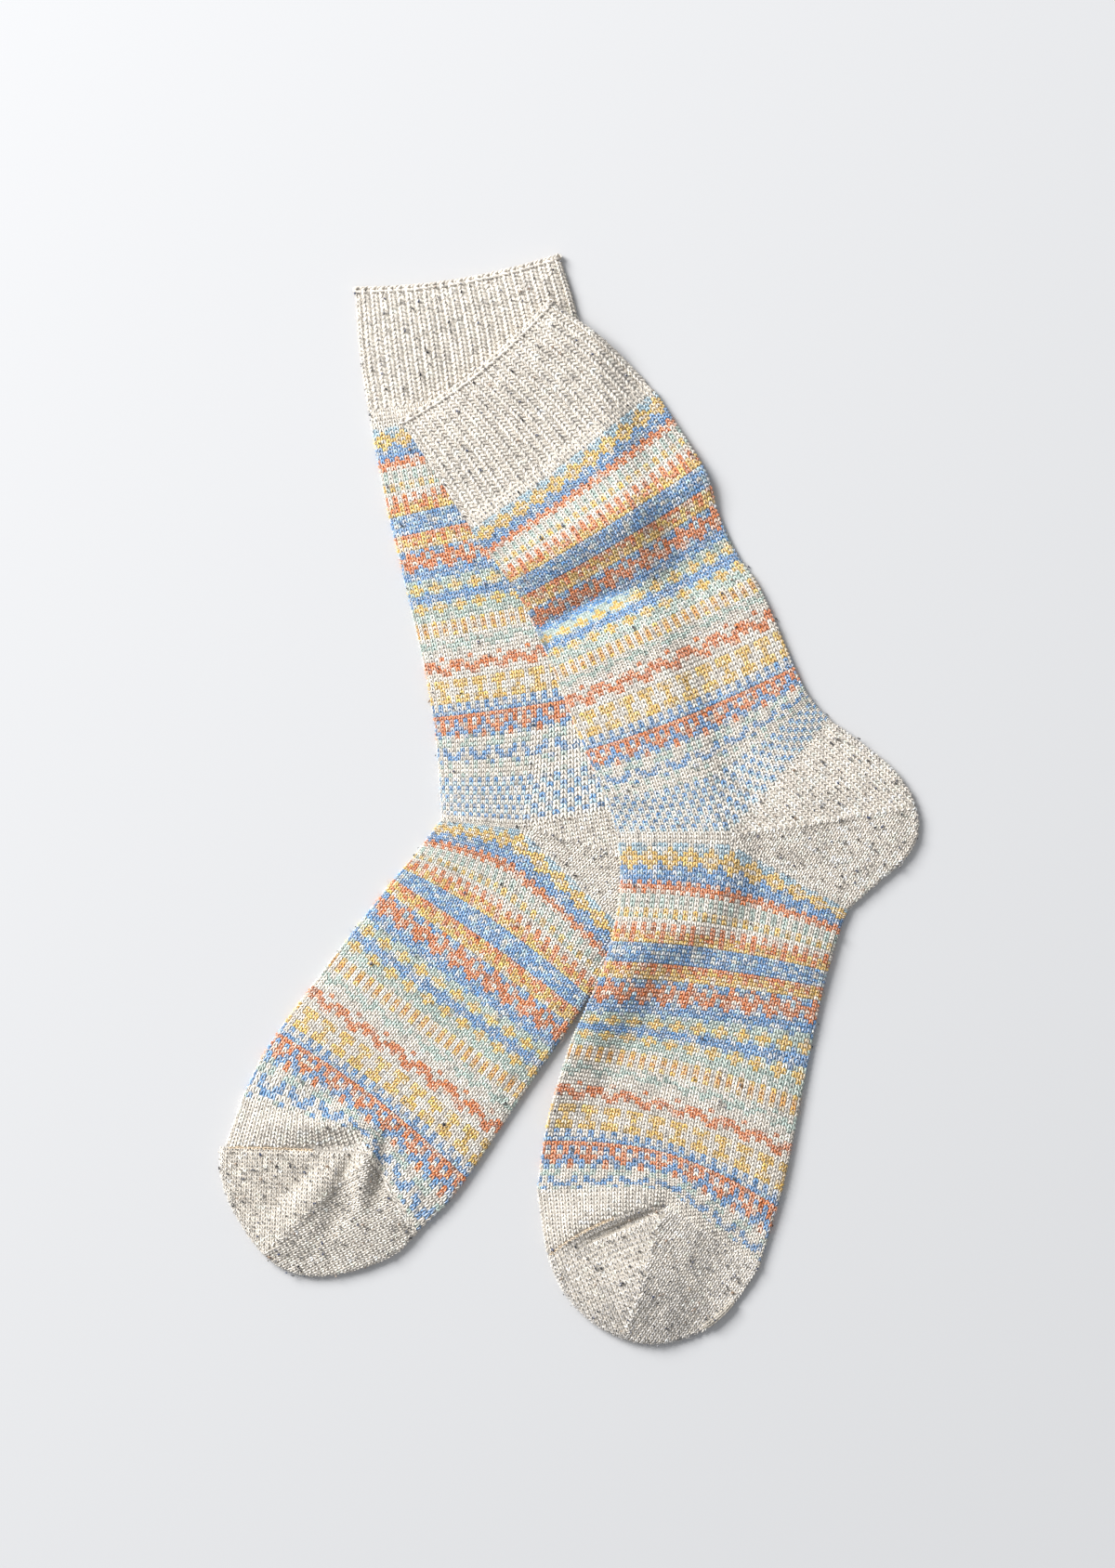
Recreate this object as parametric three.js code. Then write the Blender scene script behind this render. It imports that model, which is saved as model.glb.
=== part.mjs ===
// A pair of knitted crew socks lying flat, the upper sock across the lower one.
// Millimetres, +Z up, the floor at Z 0, the pair's middle on the origin, cuffs towards +Y,
// heels towards +X.
import * as THREE from 'three';

// The knit: two panels that lie on each other, joined at the front fold and the back fold.
const wall = 1.9;
const panelGap = 0.5;
const widestPanelGap = 3.5;
const seamGap = 0.3;

// The upper sock rides over the lower one and comes down beside it.
const ribRise = 0.6;
const lowerSockHeight = 2 * wall + panelGap + ribRise;
const rideClearance = 0.5;
const rideHeight = lowerSockHeight + rideClearance;
const rideOverhang = 5;
const rideSlope = 14;

// Steps of the meshes. A panel's inner and outer lines share them, so its walls stay apart on a slope.
const ribsPerPanel = 24;
const pointsPerRib = 3;
const panelSteps = 12;
const cuffPanelSteps = 18;
const pouchPanelSteps = 8;
const foldSteps = 4;
const innerFoldSteps = 2;

const creamYarn = { color: 0xe1dcd0, roughness: 0.95, metalness: 0 };
const patternYarn = { color: 0xa9bfc6, roughness: 0.95, metalness: 0 };

// Each section row is one knitted course of the flat sock: where it meets the front fold, the side line
// and the back fold, and how sharply it turns at the side line (0 is a smooth bow, 1 a corner).
// A pouch row gives the reach from the corner at the side line to the outline, at a share of its turn.
// A swell row is a fold or puff: middle, direction, half length, half width, opening of the two panels,
// and lift of both off what they lie on.
const upperSock = {
  name: 'upper_sock',
  cuff: [
    { frontX: -66.5, frontY: 147, sideX: -36, sideY: 167, backX: -8, backY: 194, corner: 0 },
    { frontX: -53, frontY: 126.5, sideX: -19, sideY: 150, backX: 12.5, backY: 179, corner: 0 },
    { frontX: -39.5, frontY: 104.5, sideX: -3, sideY: 130.5, backX: 32.5, backY: 159.5, corner: 0 },
  ],
  leg: [
    { frontX: -39.5, frontY: 104.5, sideX: -3, sideY: 130.5, backX: 32.5, backY: 159.5, corner: 0 },
    { frontX: -23, frontY: 82.5, sideX: 14, sideY: 103.5, backX: 52, backY: 128.5, corner: 0 },
    { frontX: -16, frontY: 69.5, sideX: 20.5, sideY: 89.5, backX: 57.5, backY: 111, corner: 0 },
    { frontX: -11, frontY: 59, sideX: 26.5, sideY: 76, backX: 64.5, backY: 95.5, corner: 0 },
    { frontX: -5.5, frontY: 45, sideX: 34, sideY: 62, backX: 74.5, backY: 80.5, corner: 0 },
    { frontX: 7, frontY: 14, sideX: 48.5, sideY: 27.5, backX: 89, backY: 47, corner: 0.2 },
    { frontX: 13.5, frontY: -1, sideX: 55.5, sideY: 7.5, backX: 94.5, backY: 37.5, corner: 0.6 },
    { frontX: 18, frontY: -14.5, sideX: 62.5, sideY: -15, backX: 101.5, backY: 30, corner: 1 },
  ],
  heel: [
    { share: 0, reach: 59.5 },
    { share: 0.17, reach: 62.5 },
    { share: 0.36, reach: 69.5 },
    { share: 0.51, reach: 73.5 },
    { share: 0.65, reach: 72 },
    { share: 0.84, reach: 60.5 },
    { share: 1, reach: 54.5 },
  ],
  foot: [
    { frontX: 18, frontY: -14.5, sideX: 62.5, sideY: -15, backX: 109, backY: -43, corner: 1 },
    { frontX: 19, frontY: -33.5, sideX: 60, sideY: -36.5, backX: 105.5, backY: -51.5, corner: 0.3 },
    { frontX: 14.5, frontY: -60, sideX: 56.5, sideY: -63.5, backX: 99.5, backY: -71.5, corner: 0 },
    { frontX: 5.5, frontY: -83, sideX: 50, sideY: -86.5, backX: 95, backY: -92.5, corner: 0 },
    { frontX: -1, frontY: -98, sideX: 43.5, sideY: -105.5, backX: 89.5, backY: -120, corner: 0 },
    { frontX: -9.5, frontY: -127, sideX: 38, sideY: -133, backX: 83, backY: -152, corner: 0 },
    { frontX: -13.5, frontY: -154, sideX: 37.5, sideY: -154, backX: 74, backY: -182.5, corner: 1 },
  ],
  toeEdge: { frontX: -9.5, frontY: -180.5, sideX: 37, sideY: -160.5, backX: 73.5, backY: -184, corner: 1 },
  toe: [
    { share: 0, reach: 43.5 },
    { share: 0.17, reach: 46 },
    { share: 0.31, reach: 50 },
    { share: 0.45, reach: 53.5 },
    { share: 0.55, reach: 55 },
    { share: 0.69, reach: 54.5 },
    { share: 0.84, reach: 53 },
    { share: 1, reach: 50.5 },
  ],
  swells: [
    { x: 19, y: 95, turn: 31, halfLength: 52, halfWidth: 9, open: 2.6, lift: 1.6 },
    { x: 84, y: -8, turn: -10, halfLength: 18, halfWidth: 18, open: 2.2, lift: 0 },
    { x: 26, y: -194, turn: -12, halfLength: 24, halfWidth: 13, open: 2.6, lift: 0 },
    { x: 8, y: -164, turn: 22, halfLength: 22, halfWidth: 7, open: 2.4, lift: 0 },
    { x: 52, y: -124, turn: 76, halfLength: 30, halfWidth: 22, open: 0.8, lift: 0 },
  ],
};

const lowerSock = {
  name: 'lower_sock',
  cuff: [
    { frontX: -85, frontY: 199, sideX: -45.5, sideY: 202, backX: -5, backY: 212, corner: 0 },
    { frontX: -83, frontY: 172.5, sideX: -41, sideY: 179, backX: 1.5, backY: 190, corner: 0 },
    { frontX: -79, frontY: 147, sideX: -38, sideY: 154.5, backX: 3.5, backY: 167, corner: 0 },
  ],
  leg: [
    { frontX: -79, frontY: 147, sideX: -38, sideY: 154.5, backX: 3.5, backY: 167, corner: 0 },
    { frontX: -73, frontY: 116, sideX: -32.5, sideY: 125.5, backX: 8, backY: 136, corner: 0 },
    { frontX: -67.5, frontY: 92.5, sideX: -27, sideY: 100.5, backX: 14.5, backY: 110, corner: 0 },
    { frontX: -58.5, frontY: 54, sideX: -18.5, sideY: 60.5, backX: 23.5, backY: 69.5, corner: 0 },
    { frontX: -53.5, frontY: 25, sideX: -16, sideY: 29, backX: 33, backY: 37.5, corner: 0.3 },
    { frontX: -51, frontY: -8.5, sideX: -19.5, sideY: -11, backX: 44.5, backY: 0, corner: 1 },
  ],
  heel: [
    { share: 0, reach: 65 },
    { share: 0.25, reach: 70 },
    { share: 0.45, reach: 74 },
    { share: 0.65, reach: 71.5 },
    { share: 0.85, reach: 64 },
    { share: 1, reach: 60.5 },
  ],
  foot: [
    { frontX: -51, frontY: -8.5, sideX: -19.5, sideY: -11, backX: 23.5, backY: -53, corner: 1 },
    { frontX: -61.5, frontY: -22.5, sideX: -27.5, sideY: -36, backX: 12, backY: -70, corner: 0.3 },
    { frontX: -72.5, frontY: -35.5, sideX: -36, sideY: -61, backX: 0.5, backY: -88, corner: 0 },
    { frontX: -93.5, frontY: -63, sideX: -55, sideY: -90, backX: -18.5, backY: -115.5, corner: 0 },
    { frontX: -118.5, frontY: -97, sideX: -80.5, sideY: -121, backX: -45, backY: -154.5, corner: 0.3 },
    { frontX: -129, frontY: -117.5, sideX: -84, sideY: -131, backX: -60.5, backY: -170.5, corner: 1 },
  ],
  toeEdge: { frontX: -136, frontY: -137.5, sideX: -79, sideY: -140, backX: -61.5, backY: -172, corner: 1 },
  toe: [
    { share: 0, reach: 36 },
    { share: 0.1, reach: 40 },
    { share: 0.24, reach: 44 },
    { share: 0.35, reach: 48.5 },
    { share: 0.46, reach: 54 },
    { share: 0.57, reach: 57.5 },
    { share: 0.73, reach: 58 },
    { share: 0.9, reach: 59.5 },
    { share: 1, reach: 59 },
  ],
  swells: [
    { x: -97, y: -127, turn: 2, halfLength: 22, halfWidth: 5.5, open: 3, lift: 0 },
    { x: -74, y: -146, turn: -72, halfLength: 13, halfWidth: 5.5, open: 3, lift: 0 },
    { x: -99, y: -153, turn: 46, halfLength: 18, halfWidth: 7, open: 2.4, lift: 0 },
    { x: -110, y: -172, turn: 20, halfLength: 16, halfWidth: 9, open: 1.8, lift: 0 },
  ],
};

// Courses

function pointOf(row, end) {
  return new THREE.Vector2(row[`${end}X`], row[`${end}Y`]);
}

function splineAt(values, place) {
  const last = values.length - 1;
  const at = THREE.MathUtils.clamp(place, 0, 1) * last;
  const first = Math.min(Math.floor(at), last - 1);
  const t = at - first;
  const start = values[first];
  const end = values[first + 1];
  const before = first > 0 ? values[first - 1] : 2 * start - end;
  const after = first + 2 <= last ? values[first + 2] : 2 * end - start;
  const startSlope = (end - before) / 2;
  const endSlope = (after - start) / 2;
  const square = t * t;
  const cube = square * t;
  return (2 * cube - 3 * square + 1) * start + (cube - 2 * square + t) * startSlope
    + (3 * square - 2 * cube) * end + (cube - square) * endSlope;
}

function courseAt(rows, place) {
  const course = {};
  for (const column of Object.keys(rows[0])) {
    course[column] = splineAt(rows.map((row) => row[column]), place);
  }
  return course;
}

function courseBetween(fromRow, toRow, share) {
  const course = {};
  for (const column of Object.keys(fromRow)) {
    course[column] = THREE.MathUtils.lerp(fromRow[column], toRow[column], share);
  }
  return course;
}

// A point of a course: -1 is the front fold, 0 the side line, 1 the back fold.
function planPoint(course, across) {
  const front = pointOf(course, 'front');
  const side = pointOf(course, 'side');
  const back = pointOf(course, 'back');
  const corner = THREE.MathUtils.clamp(course.corner, 0, 1);
  const bend = THREE.MathUtils.lerp(across * across, Math.abs(across), corner);
  const straight = back.clone().sub(front).multiplyScalar(across / 2);
  const bow = front.clone().add(back).addScaledVector(side, -2).multiplyScalar(bend / 2);
  return side.clone().add(straight).add(bow);
}

// Millimetres of cloth to one unit of across, at one of the two folds.
function foldScale(course, foldSide) {
  const nearFold = 0.98;
  return planPoint(course, foldSide).distanceTo(planPoint(course, foldSide * nearFold)) / (1 - nearFold);
}

// Heights

function swellAt(swell, point) {
  const turn = THREE.MathUtils.degToRad(swell.turn);
  const dx = point.x - swell.x;
  const dy = point.y - swell.y;
  const along = (dx * Math.cos(turn) + dy * Math.sin(turn)) / swell.halfLength;
  const aside = (dy * Math.cos(turn) - dx * Math.sin(turn)) / swell.halfWidth;
  return Math.exp(-along * along - aside * aside);
}

function makeHeights(sock, rideAt) {
  const liftAt = (point) => sock.swells.reduce((sum, swell) => sum + swell.lift * swellAt(swell, point), 0);
  const openAt = (point) => sock.swells.reduce((sum, swell) => sum + swell.open * swellAt(swell, point), 0);
  return {
    under: (point) => rideAt(point) + liftAt(point),
    thick: (point) => 2 * wall + Math.min(panelGap + openAt(point), widestPanelGap),
  };
}

// The outline of a flat sock, front fold then toe, back fold and heel.
function outlineOf(sock) {
  const outline = [];
  const steps = 24;
  for (const [rows, end] of [[sock.cuff, 'front'], [sock.leg, 'front'], [sock.foot, 'front']]) {
    for (let step = 0; step <= steps; step += 1) {
      outline.push(pointOf(courseAt(rows, step / steps), end));
    }
  }
  outline.push(...pouchOutline(sock.toe, sock.toeEdge, sock.toeEdge, steps).reverse());
  for (let step = steps; step >= 0; step -= 1) {
    outline.push(pointOf(courseAt(sock.foot, step / steps), 'back'));
  }
  outline.push(...pouchOutline(sock.heel, sock.leg.at(-1), sock.foot[0], steps).reverse());
  for (const rows of [sock.leg, sock.cuff]) {
    for (let step = steps; step >= 0; step -= 1) {
      outline.push(pointOf(courseAt(rows, step / steps), 'back'));
    }
  }
  return outline;
}

function distanceOutside(outline, point) {
  let nearest = Infinity;
  let inside = false;
  outline.forEach((start, index) => {
    const end = outline[(index + 1) % outline.length];
    const edge = end.clone().sub(start);
    const toPoint = point.clone().sub(start);
    const share = THREE.MathUtils.clamp(toPoint.dot(edge) / Math.max(edge.lengthSq(), 1e-9), 0, 1);
    nearest = Math.min(nearest, toPoint.addScaledVector(edge, -share).length());
    const crosses = (start.y > point.y) !== (end.y > point.y);
    if (crosses && point.x < start.x + (edge.x * (point.y - start.y)) / edge.y) {
      inside = !inside;
    }
  });
  return inside ? -nearest : nearest;
}

// Pouches: the heel and the toe fan out round a corner on the side line.

function reachAt(rows, share) {
  const next = Math.max(1, rows.findIndex((row) => row.share >= share));
  const from = rows[next - 1];
  const to = rows[next];
  const part = (share - from.share) / (to.share - from.share);
  const place = (next - 1 + THREE.MathUtils.clamp(part, 0, 1)) / (rows.length - 1);
  return splineAt(rows.map((row) => row.reach), place);
}

function pouchFan(rows, fromCourse, toCourse, toEnd) {
  const corner = pointOf(fromCourse, 'side');
  const first = pointOf(fromCourse, 'back').sub(corner).angle();
  let turn = pointOf(toCourse, toEnd).sub(corner).angle() - first;
  if (turn > 0) {
    turn -= 2 * Math.PI;
  }
  const half = Math.abs(turn) / 2;
  const middle = new THREE.Vector2(Math.cos(first + turn / 2), Math.sin(first + turn / 2));
  const pivot = corner.clone().addScaledVector(middle, seamGap / Math.sin(half));
  return { rows, corner, pivot, first, turn };
}

function fanPoint(fan, centre, share, reach) {
  const angle = fan.first + fan.turn * share;
  return new THREE.Vector2(centre.x + reach * Math.cos(angle), centre.y + reach * Math.sin(angle));
}

function pouchOutline(rows, fromCourse, toCourse, steps) {
  const toEnd = fromCourse === toCourse ? 'front' : 'back';
  const fan = pouchFan(rows, fromCourse, toCourse, toEnd);
  const points = [];
  for (let step = 0; step <= steps; step += 1) {
    points.push(fanPoint(fan, fan.corner, step / steps, reachAt(rows, step / steps)));
  }
  return points;
}

// Closed solids

// Edges of a station's section, in the order that faces its skins outward.
function sectionEdges(outerCount, innerCount, isTube) {
  const edges = [];
  for (let here = 0; here < outerCount - 1; here += 1) {
    edges.push([here, here + 1]);
  }
  for (let here = innerCount - 1; here > 0; here -= 1) {
    edges.push([outerCount + here, outerCount + here - 1]);
  }
  const outerEnds = [outerCount - 1, 0];
  const innerEnds = [outerCount + innerCount - 1, outerCount];
  if (isTube) {
    edges.push(outerEnds, innerEnds.reverse());
  } else {
    edges.push([outerEnds[0], innerEnds[0]], [innerEnds[1], outerEnds[1]]);
  }
  return edges;
}

// Triangles between the outer and the inner line of a section, matched by how far round each point is.
function capTriangles(outer, inner, isTube) {
  const outerCount = outer.length;
  const innerCount = inner.length;
  const outerSteps = isTube ? outerCount : outerCount - 1;
  const innerSteps = isTube ? innerCount : innerCount - 1;
  const fullTurn = 4;
  const roundAt = (points, index) => (index < points.length ? points[index].round : fullTurn);
  const triangles = [];
  let onOuter = 0;
  let onInner = 0;
  while (onOuter < outerSteps || onInner < innerSteps) {
    const outerNext = onOuter < outerSteps ? roundAt(outer, onOuter + 1) : Infinity;
    const innerNext = onInner < innerSteps ? roundAt(inner, onInner + 1) : Infinity;
    const outerHere = onOuter % outerCount;
    const innerHere = outerCount + (onInner % innerCount);
    if (outerNext <= innerNext) {
      onOuter += 1;
      triangles.push([outerHere, onOuter % outerCount, innerHere]);
    } else {
      onInner += 1;
      triangles.push([outerHere, outerCount + (onInner % innerCount), innerHere]);
    }
  }
  return triangles;
}

// Stations of sections become one closed shell: skins between the stations and a cap at each end.
function shellGeometry(stations, isTube) {
  const outerCount = stations[0].outer.length;
  const innerCount = stations[0].inner.length;
  const stationSize = outerCount + innerCount;
  const positions = stations.flatMap((station) => [...station.outer, ...station.inner])
    .flatMap((point) => [point.x, point.y, point.z]);
  const indices = [];
  const edges = sectionEdges(outerCount, innerCount, isTube);
  for (let step = 0; step < stations.length - 1; step += 1) {
    const near = step * stationSize;
    const far = near + stationSize;
    for (const [from, to] of edges) {
      indices.push(near + from, near + to, far + to, near + from, far + to, far + from);
    }
  }
  const lastStart = (stations.length - 1) * stationSize;
  for (const [a, b, c] of capTriangles(stations[0].outer, stations[0].inner, isTube)) {
    indices.push(c, b, a);
  }
  for (const [a, b, c] of capTriangles(stations.at(-1).outer, stations.at(-1).inner, isTube)) {
    indices.push(lastStart + a, lastStart + b, lastStart + c);
  }
  const geometry = new THREE.BufferGeometry();
  geometry.setAttribute('position', new THREE.Float32BufferAttribute(positions, 3));
  geometry.setIndex(indices);
  return facedOutward(geometry);
}

function facedOutward(geometry) {
  const position = geometry.getAttribute('position');
  const index = geometry.getIndex().array;
  const corners = [new THREE.Vector3(), new THREE.Vector3(), new THREE.Vector3()];
  let volume = 0;
  for (let face = 0; face < index.length; face += 3) {
    corners.forEach((corner, place) => corner.fromBufferAttribute(position, index[face + place]));
    volume += corners[0].dot(corners[1].clone().cross(corners[2]));
  }
  if (volume < 0) {
    geometry.setIndex(Array.from(index).reverse());
  }
  geometry.computeVertexNormals();
  return geometry;
}

// Tubes: cuff, leg and foot

// One line round the tube: over the top from the back fold, round the front fold, back underneath.
// Inset is nothing for the outer line and the wall for the inner one.
function tubeLine(course, heights, inset, steps, ribbed) {
  const line = [];
  const place = (across, round, height) => {
    const point = planPoint(course, across);
    line.push({ x: point.x, y: point.y, z: heights.under(point) + height(point), round });
  };
  const fold = (foldSide) => {
    const scale = foldScale(course, foldSide);
    const middle = heights.thick(planPoint(course, foldSide)) / 2;
    const radius = middle - inset;
    return { scale, middle, radius, end: foldSide * (1 - (inset + radius) / scale) };
  };
  const back = fold(1);
  const front = fold(-1);
  const between = (share) => (share < 0 ? -share * front.end : share * back.end);
  const roundFold = (foldSide, side, startRound) => {
    for (let step = 1; step < steps.fold; step += 1) {
      const angle = -foldSide * (0.5 - step / steps.fold) * Math.PI;
      const across = foldSide * (1 - (inset + side.radius * (1 - Math.cos(angle))) / side.scale);
      place(across, startRound + step / steps.fold, () => side.middle + side.radius * Math.sin(angle));
    }
  };
  for (let step = 0; step <= steps.top; step += 1) {
    const onRib = ribbed && step % pointsPerRib !== 0;
    const share = step / steps.top;
    place(between(1 - 2 * share), share, (point) => heights.thick(point) - inset + (onRib ? ribRise : 0));
  }
  roundFold(-1, front, 1);
  for (let step = 0; step <= steps.under; step += 1) {
    const share = step / steps.under;
    place(between(2 * share - 1), 2 + share, () => inset);
  }
  roundFold(1, back, 3);
  return line;
}

function tubeStation(course, heights, ribbed) {
  const panel = ribbed ? cuffPanelSteps : panelSteps;
  const outerSteps = { top: ribbed ? ribsPerPanel * pointsPerRib : panel, under: panel, fold: foldSteps };
  const innerSteps = { top: panel, under: panel, fold: innerFoldSteps };
  return {
    outer: tubeLine(course, heights, 0, outerSteps, ribbed),
    inner: tubeLine(course, heights, wall, innerSteps, false),
  };
}

function tubeCourses(rows, steps, startGap, endGap) {
  const length = pointOf(rows[0], 'side').distanceTo(pointOf(rows.at(-1), 'side'));
  const courses = [];
  for (let step = 0; step <= steps; step += 1) {
    const place = THREE.MathUtils.lerp(startGap / length, 1 - endGap / length, step / steps);
    courses.push(courseAt(rows, place));
  }
  return courses;
}

function tubeShell(courses, heights, ribbed) {
  return shellGeometry(courses.map((course) => tubeStation(course, heights, ribbed)), true);
}

// Pouches: a line goes out over the top panel, round the fold and back underneath.

function pouchLine(fan, heights, share, inset, steps) {
  const pivotReach = 0.8;
  const edge = reachAt(fan.rows, share);
  const middle = heights.thick(fanPoint(fan, fan.pivot, share, edge)) / 2;
  const flatReach = edge - middle;
  const radius = middle - inset;
  const line = [];
  const place = (reach, round, height) => {
    const point = fanPoint(fan, fan.pivot, share, reach);
    line.push({ x: point.x, y: point.y, z: heights.under(point) + height(point), round });
  };
  for (let step = 0; step <= steps.top; step += 1) {
    const part = step / steps.top;
    place(THREE.MathUtils.lerp(pivotReach, flatReach, part), part, (point) => heights.thick(point) - inset);
  }
  for (let step = 1; step < steps.fold; step += 1) {
    const angle = (0.5 - step / steps.fold) * Math.PI;
    place(flatReach + radius * Math.cos(angle), 1 + step / steps.fold, () => middle + radius * Math.sin(angle));
  }
  for (let step = 0; step <= steps.under; step += 1) {
    const part = step / steps.under;
    place(THREE.MathUtils.lerp(flatReach, pivotReach, part), 2 + part, () => inset);
  }
  return line;
}

function pouchShell(rows, fromCourse, toCourse, heights, steps) {
  const toEnd = fromCourse === toCourse ? 'front' : 'back';
  const fan = pouchFan(rows, fromCourse, toCourse, toEnd);
  const outerSteps = { top: pouchPanelSteps, under: pouchPanelSteps, fold: foldSteps };
  const innerSteps = { top: pouchPanelSteps, under: pouchPanelSteps, fold: innerFoldSteps };
  const stations = [];
  for (let step = 0; step <= steps; step += 1) {
    const share = step / steps;
    stations.push({
      outer: pouchLine(fan, heights, share, 0, outerSteps),
      inner: pouchLine(fan, heights, share, wall, innerSteps),
    });
  }
  return shellGeometry(stations, false);
}

// The socks

function mesh(name, geometry, look) {
  const piece = new THREE.Mesh(geometry, new THREE.MeshStandardMaterial(look));
  piece.name = name;
  return piece;
}

function buildSock(sock, rideAt) {
  const heights = makeHeights(sock, rideAt);
  const half = seamGap / 2;
  const cuff = tubeCourses(sock.cuff, 5, 0, half);
  const leg = tubeCourses(sock.leg, 18, half, 0);
  const foot = tubeCourses(sock.foot, 18, seamGap, 0);
  for (const share of [0.5, 1]) {
    foot.push(courseBetween(sock.foot.at(-1), sock.toeEdge, share));
  }
  const group = new THREE.Group();
  group.add(mesh(`${sock.name}_cuff`, tubeShell(cuff, heights, true), creamYarn));
  group.add(mesh(`${sock.name}_leg`, tubeShell(leg, heights, false), patternYarn));
  group.add(mesh(`${sock.name}_heel`, pouchShell(sock.heel, sock.leg.at(-1), sock.foot[0], heights, 10),
    creamYarn));
  group.add(mesh(`${sock.name}_foot`, tubeShell(foot, heights, false), patternYarn));
  group.add(mesh(`${sock.name}_toe`, pouchShell(sock.toe, sock.toeEdge, sock.toeEdge, heights, 14), creamYarn));
  return group;
}

// The upper sock stays at full height over the lower sock's outline and slopes to the floor beside it.
const lowerOutline = outlineOf(lowerSock);

function rideOverLowerSock(point) {
  const outside = distanceOutside(lowerOutline, point) - rideOverhang;
  return rideHeight * (1 - THREE.MathUtils.smoothstep(outside, 0, rideSlope));
}

// The tables are laid out round a point near the pair's middle, and this brings the middle to the origin.
const middleX = -0.95;
const middleY = -1.58;
const pair = new THREE.Group();
pair.position.set(-middleX, -middleY, 0);
pair.add(buildSock(lowerSock, () => 0));
pair.add(buildSock(upperSock, rideOverLowerSock));

export default pair;
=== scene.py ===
"""A pair of knitted crew socks lying flat on a pale floor, the upper sock across the lower one."""

import math

import bpy
import numpy as np
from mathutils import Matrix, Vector


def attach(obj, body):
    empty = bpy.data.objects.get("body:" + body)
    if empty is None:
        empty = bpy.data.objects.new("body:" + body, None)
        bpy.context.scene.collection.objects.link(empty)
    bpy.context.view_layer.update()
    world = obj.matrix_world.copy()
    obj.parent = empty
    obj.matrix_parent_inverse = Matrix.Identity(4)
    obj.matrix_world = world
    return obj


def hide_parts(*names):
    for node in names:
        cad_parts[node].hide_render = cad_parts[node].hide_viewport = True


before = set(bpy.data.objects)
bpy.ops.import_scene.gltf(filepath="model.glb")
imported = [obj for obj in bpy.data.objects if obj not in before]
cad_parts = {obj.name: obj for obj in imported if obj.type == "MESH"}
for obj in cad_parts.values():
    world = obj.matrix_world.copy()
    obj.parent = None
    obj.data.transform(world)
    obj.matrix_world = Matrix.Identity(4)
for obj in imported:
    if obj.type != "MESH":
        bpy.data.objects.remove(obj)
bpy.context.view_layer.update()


# Legs and feet
# Each sock is one knitted tube of cream and dyed cotton, in narrow colour-banded rows. It lies flat, in two
# panels that meet at a front and a back fold. The leg runs from the cuff to the heel and the foot on to the
# toe. Every stitch that shows is a looped yarn of its own over a thin shell of the same rows.

MILLIMETRE = 0.001
PAIR_OFFSET = np.array((0.95, 1.58))

# One knitted course of the flat sock to a row, in millimetres: where it meets the front fold, the side line
# and the back fold, and how sharply it turns at the side line, from 0, a smooth bow, to 1, a corner.
COURSE_COLUMNS = ("front_x", "front_y", "side_x", "side_y", "back_x", "back_y", "corner")
UPPER_LEG = np.array((
    (-39.5, 104.5, -3.0, 130.5, 32.5, 159.5, 0.0),
    (-23.0, 82.5, 14.0, 103.5, 52.0, 128.5, 0.0),
    (-16.0, 69.5, 20.5, 89.5, 57.5, 111.0, 0.0),
    (-11.0, 59.0, 26.5, 76.0, 64.5, 95.5, 0.0),
    (-5.5, 45.0, 34.0, 62.0, 74.5, 80.5, 0.0),
    (7.0, 14.0, 48.5, 27.5, 89.0, 47.0, 0.2),
    (13.5, -1.0, 55.5, 7.5, 94.5, 37.5, 0.6),
    (18.0, -14.5, 62.5, -15.0, 101.5, 30.0, 1.0),
))
UPPER_FOOT = np.array((
    (18.0, -14.5, 62.5, -15.0, 109.0, -43.0, 1.0),
    (19.0, -33.5, 60.0, -36.5, 105.5, -51.5, 0.3),
    (14.5, -60.0, 56.5, -63.5, 99.5, -71.5, 0.0),
    (5.5, -83.0, 50.0, -86.5, 95.0, -92.5, 0.0),
    (-1.0, -98.0, 43.5, -105.5, 89.5, -120.0, 0.0),
    (-9.5, -127.0, 38.0, -133.0, 83.0, -152.0, 0.0),
    (-13.5, -154.0, 37.5, -154.0, 74.0, -182.5, 1.0),
))
UPPER_TOE_EDGE = np.array((-9.5, -180.5, 37.0, -160.5, 73.5, -184.0, 1.0))
LOWER_LEG = np.array((
    (-79.0, 147.0, -38.0, 154.5, 3.5, 167.0, 0.0),
    (-73.0, 116.0, -32.5, 125.5, 8.0, 136.0, 0.0),
    (-67.5, 92.5, -27.0, 100.5, 14.5, 110.0, 0.0),
    (-58.5, 54.0, -18.5, 60.5, 23.5, 69.5, 0.0),
    (-53.5, 25.0, -16.0, 29.0, 33.0, 37.5, 0.3),
    (-51.0, -8.5, -19.5, -11.0, 44.5, 0.0, 1.0),
))
LOWER_FOOT = np.array((
    (-51.0, -8.5, -19.5, -11.0, 23.5, -53.0, 1.0),
    (-61.5, -22.5, -27.5, -36.0, 12.0, -70.0, 0.3),
    (-72.5, -35.5, -36.0, -61.0, 0.5, -88.0, 0.0),
    (-93.5, -63.0, -55.0, -90.0, -18.5, -115.5, 0.0),
    (-118.5, -97.0, -80.5, -121.0, -45.0, -154.5, 0.3),
    (-129.0, -117.5, -84.0, -131.0, -60.5, -170.5, 1.0),
))
LOWER_TOE_EDGE = np.array((-136.0, -137.5, -79.0, -140.0, -61.5, -172.0, 1.0))

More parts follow.
